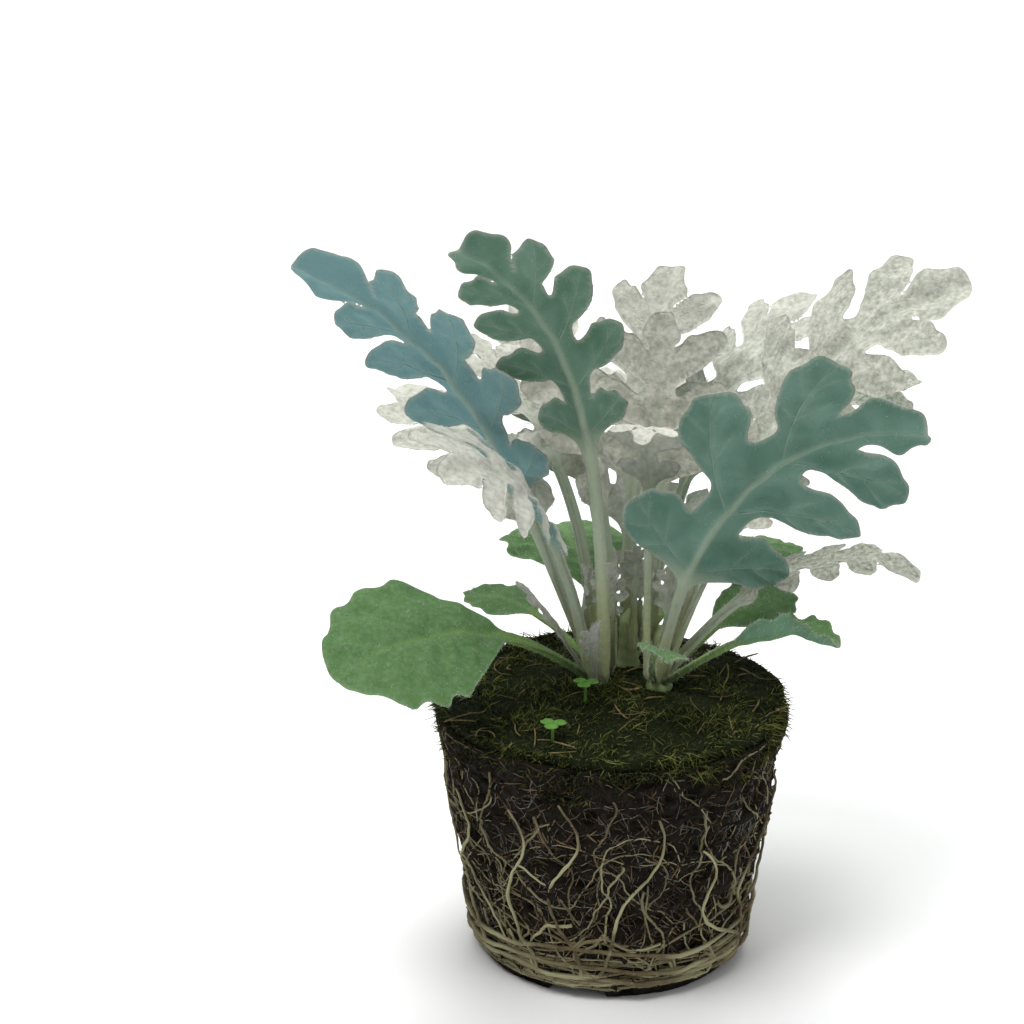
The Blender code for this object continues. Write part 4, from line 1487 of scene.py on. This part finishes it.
        return points, np.concatenate([normal, -normal]), np.tile(bell(edge, 0.6 * MM), 2)

    def add_veins(self) -> None:
        """Raised veins on the lower face, each a thin tube along its path in the plan."""
        a, b, radius = self.vein_lines()
        steps, sides, bow = 12, 5, -0.1
        share = np.linspace(0.0, 1.0, steps)[None, :, None]
        sag = bow * np.linalg.norm(b - a, axis=1)[:, None, None] * share * (1 - share)
        paths = a[:, None] + (b - a)[:, None] * share + sag * np.array([1.0, 0.0])
        u, v = paths.reshape(-1, 2).T
        lift, _ = self.relief(u, v, (a, b, radius))
        here = self.rib.surface(u, v, lift)
        below = self.rib.surface(u, v, lift - self.rib.BLADE_RIM * 0.75)
        thick = radius[:, None] * np.linspace(1.0, 0.4, steps) * self.rib.small
        shape = (len(a), steps, 3)
        hint = unit(here - below).reshape(shape)
        points, faces = sweep(below.reshape(shape), thick, sides, hint)
        ones = np.ones(len(points))
        attributes = {"under": ones * self.bareness, "vein": ones, "blue": self.shape.blue * ones}
        add_mesh(self.shape.name + "_veins", points, faces, self.finish, self.slot, attributes)

    def add_hairs(self, points: Array, normals: Array, margin: Array) -> None:
        """Felt that stands out: fine spikes, denser at the margin.

        Args:
            points: (N, 3) points of the skin, on which the hairs stand.
            normals: (N, 3) normals of the skin there.
            margin: nearness of each point to the margin.
        """
        crowd, fringe, longest = (2.4, 2.2, 1.15) if self.silver else (1.4, 1.2, 1.5)
        count = int(900 * self.rib.small * crowd * (1.0 if self.shape.solid else 0.4))
        weight = 0.25 + margin * fringe
        pick = self.draw.choice(len(points), count, p=weight / weight.sum())
        way = unit(normals[pick] + self.draw.normal(0.0, 0.75, (count, 3)))
        tall = self.draw.uniform(0.35, longest, count) * MM
        foot = points[pick] - way * 0.06 * MM + self.draw.normal(0.0, 0.12 * MM, (count, 3))
        across = unit(np.cross(way, self.draw.normal(0.0, 1.0, (count, 3))))
        other = np.cross(way, across)
        turn = np.array([0.0, 2.1, 4.2])[:, None]
        ring = across[:, None] * np.cos(turn) + other[:, None] * np.sin(turn)
        apex = (foot + way * tall[:, None])[:, None]
        spikes = np.concatenate([foot[:, None] + ring * self.HAIR_RADIUS, apex], axis=1)
        start = 4 * np.arange(count)[:, None, None]
        faces = (start + np.array([[0, 1, 3], [1, 2, 3], [2, 0, 3], [0, 2, 1]])).reshape(-1, 3)
        name = self.shape.name + "_hairs"
        add_mesh(name, spikes.reshape(-1, 3), [faces], Finish.HAIR.material, self.slot)

    def build(self) -> None:
        """The leaf with its veins and hairs."""
        felted = self.skin()
        self.add_veins()
        self.add_hairs(*felted)


# Seedlings


@dataclass(frozen=True)
class Seedling:
    """A tiny weed seedling: a stalk and three heart-shaped leaflets."""

    LEAFLET_HALF: ClassVar[float] = 1.55 * MM
    LEAFLET_REACH: ClassVar[float] = 1.75 * MM
    LEAFLET_CUP: ClassVar[float] = 0.55 * MM
    LEAFLET_THICK: ClassVar[float] = 0.12 * MM

    name: str
    x: float
    y: float
    height: float

    def build(self) -> None:
        """Leaflets as fans of rings, with notched tips, on a thin stalk."""
        foot = float(MOSS.height(np.array(self.x), np.array(self.y))) + 0.4 * MM
        top = np.array([self.x, self.y, foot + self.height])
        path = np.linspace(np.array([self.x, self.y, foot - 1.0 * MM]), top, 8)
        points, faces = sweep(path[None], np.full((1, 8), 0.35 * MM), 8, np.array([0.0, 1.0, 0.0]))
        rings, sides = 7, 28
        around = 2 * np.pi * np.arange(sides) / sides
        share, turn = np.meshgrid(np.linspace(0.04, 1.0, rings), around, indexing="ij")
        notch = 1.0 - 0.28 * bell(np.minimum(turn, 2 * np.pi - turn), 0.35)
        wide = self.LEAFLET_HALF * notch * share
        out, side = self.LEAFLET_REACH + wide * np.cos(turn), wide * np.sin(turn)
        cup = self.LEAFLET_CUP * share**2
        total = rings * sides
        index = np.arange(total).reshape(rings, sides)
        parts, quads, ends, count = [points], [faces[0]], [], len(points)
        for n in range(3):
            angle = math.radians(120 * n + 20)
            x = out * math.cos(angle) - side * math.sin(angle)
            y = out * math.sin(angle) + side * math.cos(angle)
            for lift in (self.LEAFLET_THICK, -self.LEAFLET_THICK * (1 - share)):
                parts.append((np.stack([x, y, cup + lift], axis=-1) + top).reshape(-1, 3))
            upper, lower = index + count, index + count + total
            margin = ring_quads(np.stack([upper[-1], lower[-1]]))
            quads += [ring_quads(upper), ring_quads(lower)[:, ::-1], margin]
            ends += [upper[:1], lower[:1, ::-1]]
            count += 2 * total
        shapes = [np.concatenate(quads), np.concatenate(faces[1:]), np.concatenate(ends)]
        finish, name = Finish.SEEDLING.material, self.name + "_clover"
        piece = add_mesh(name, np.concatenate(parts), shapes, finish, "seedling")
        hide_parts(self.name)


SEEDLINGS = (
    Seedling("seedling_crown", -6.0 * MM, -11.0 * MM, 4.2 * MM),
    Seedling("seedling_rim", -13.0 * MM, -31.0 * MM, 3.6 * MM),
)


# Studio


@dataclass(frozen=True)
class Lamp:
    """A square soft light, aimed at the middle of the plant unless told otherwise."""

    name: str
    place: tuple[float, float, float]
    size: float
    power: float
    aim: tuple[float, float, float] = (0.0, 0.0, 0.09)

    def build(self) -> bpy.types.Object:
        """The light, turned to its aim.

        Returns:
            The lamp.
        """
        data = bpy.data.lights.new(self.name, "AREA")
        data.shape, data.size, data.energy = "SQUARE", self.size, self.power
        lamp = bpy.data.objects.new(self.name, data)
        lamp.location = self.place
        x, y, z = np.array(self.aim) - np.array(self.place)
        lamp.rotation_euler = (math.atan2(math.hypot(x, y), -z), 0.0, math.atan2(y, x) - math.pi / 2)
        bpy.context.scene.collection.objects.link(lamp)
        return lamp


@dataclass(frozen=True)
class Studio:
    """Floor, lights and the photograph's camera."""

    place: tuple[float, float, float] = (0.0, -489.55 * MM, 261.79 * MM)
    pitch: float = 17.346
    yaw: float = 2.770
    lens: float = 77.34
    lamps: tuple[Lamp, ...] = (
        Lamp("key", (-0.32, -0.30, 1.10), 0.5, 8.8),
        Lamp("fill", (0.8, -0.5, 0.5), 0.8, 1.2),
        Lamp("back", (0.1, 0.6, 0.9), 0.7, 3.6),
        Lamp("wash", (0.0, 0.5, 1.5), 0.9, 17.0, (0.0, 1.5, 0.25)),
    )
    sky: tuple[float, float, float, float] = (0.95, 0.97, 1.0, 1.0)
    sky_strength: float = 0.34

    def add_floor(self) -> None:
        """A sheet of floor that curves up to a wall at its back."""
        columns, rows = 12, 60
        along = np.linspace(0.0, 1.0, rows)
        y = np.interp(along, [0.0, 0.6, 1.0], [-1.6, 1.2, 1.8])
        z = 1.6 * smooth((along - 0.62) / 0.38) ** 1.5
        x = np.linspace(-2.4, 2.4, columns)
        points = np.stack([np.repeat(x, rows), np.tile(y, columns), np.tile(z, columns)], axis=-1)
        index = np.arange(columns * rows).reshape(columns, rows)
        corners = index[:-1, :-1], index[1:, :-1], index[1:, 1:], index[:-1, 1:]
        quads = np.stack(corners, axis=-1).reshape(-1, 4)
        mesh = bpy.data.meshes.new("floor")
        mesh.from_pydata(points.tolist(), [], quads.tolist())
        mesh.shade_smooth()
        mesh.materials.append(Finish.FLOOR.material)
        floor = bpy.data.objects.new("floor", mesh)
        bpy.context.scene.collection.objects.link(floor)
        floor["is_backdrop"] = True

    def add_camera(self) -> None:
        """The camera, where the photograph was taken from."""
        data = bpy.data.cameras.new("camera")
        data.lens, data.sensor_width = self.lens, 36.0
        camera = bpy.data.objects.new("camera", data)
        camera.location = self.place
        camera.rotation_euler = (math.radians(90.0 - self.pitch), 0.0, math.radians(self.yaw))
        bpy.context.scene.collection.objects.link(camera)
        bpy.context.scene.camera = camera

    def build(self) -> None:
        """The whole stage."""
        self.add_floor()
        for lamp in self.lamps:
            lamp.build()
        self.add_camera()
        world = bpy.data.worlds.new("studio")
        world.use_nodes = True
        background = world.node_tree.nodes["Background"].inputs
        background["Color"].default_value = self.sky
        background["Strength"].default_value = self.sky_strength
        bpy.context.scene.world = world
        bpy.context.scene.view_settings.view_transform = "Standard"


def main() -> None:
    """Builds every piece and reports it."""
    logging.basicConfig(level=logging.INFO, format="%(message)s")
    PLUG.build()
    LOG.info("soil")
    RootNet().build()
    LOG.info("roots")
    MOSS.build()
    LOG.info("moss")
    for shoot in SHOOTS.values():
        shoot.build()
        LOG.info(shoot.name)
    for seed, shape in enumerate([*LEAVES, *young_leaves()], FIRST_LEAF_SEED):
        Leaf(shape, seed).build()
        LOG.info(shape.name)
    for seedling in SEEDLINGS:
        seedling.build()
        LOG.info(seedling.name)
    Studio().build()
    LOG.info("studio")


if __name__ == "__main__":
    main()
    sizes = {"cad": BOUNDS_AT_LOAD, "scene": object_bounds()}
    {k: [list(c) for c in v] for k, v in sizes.items()}
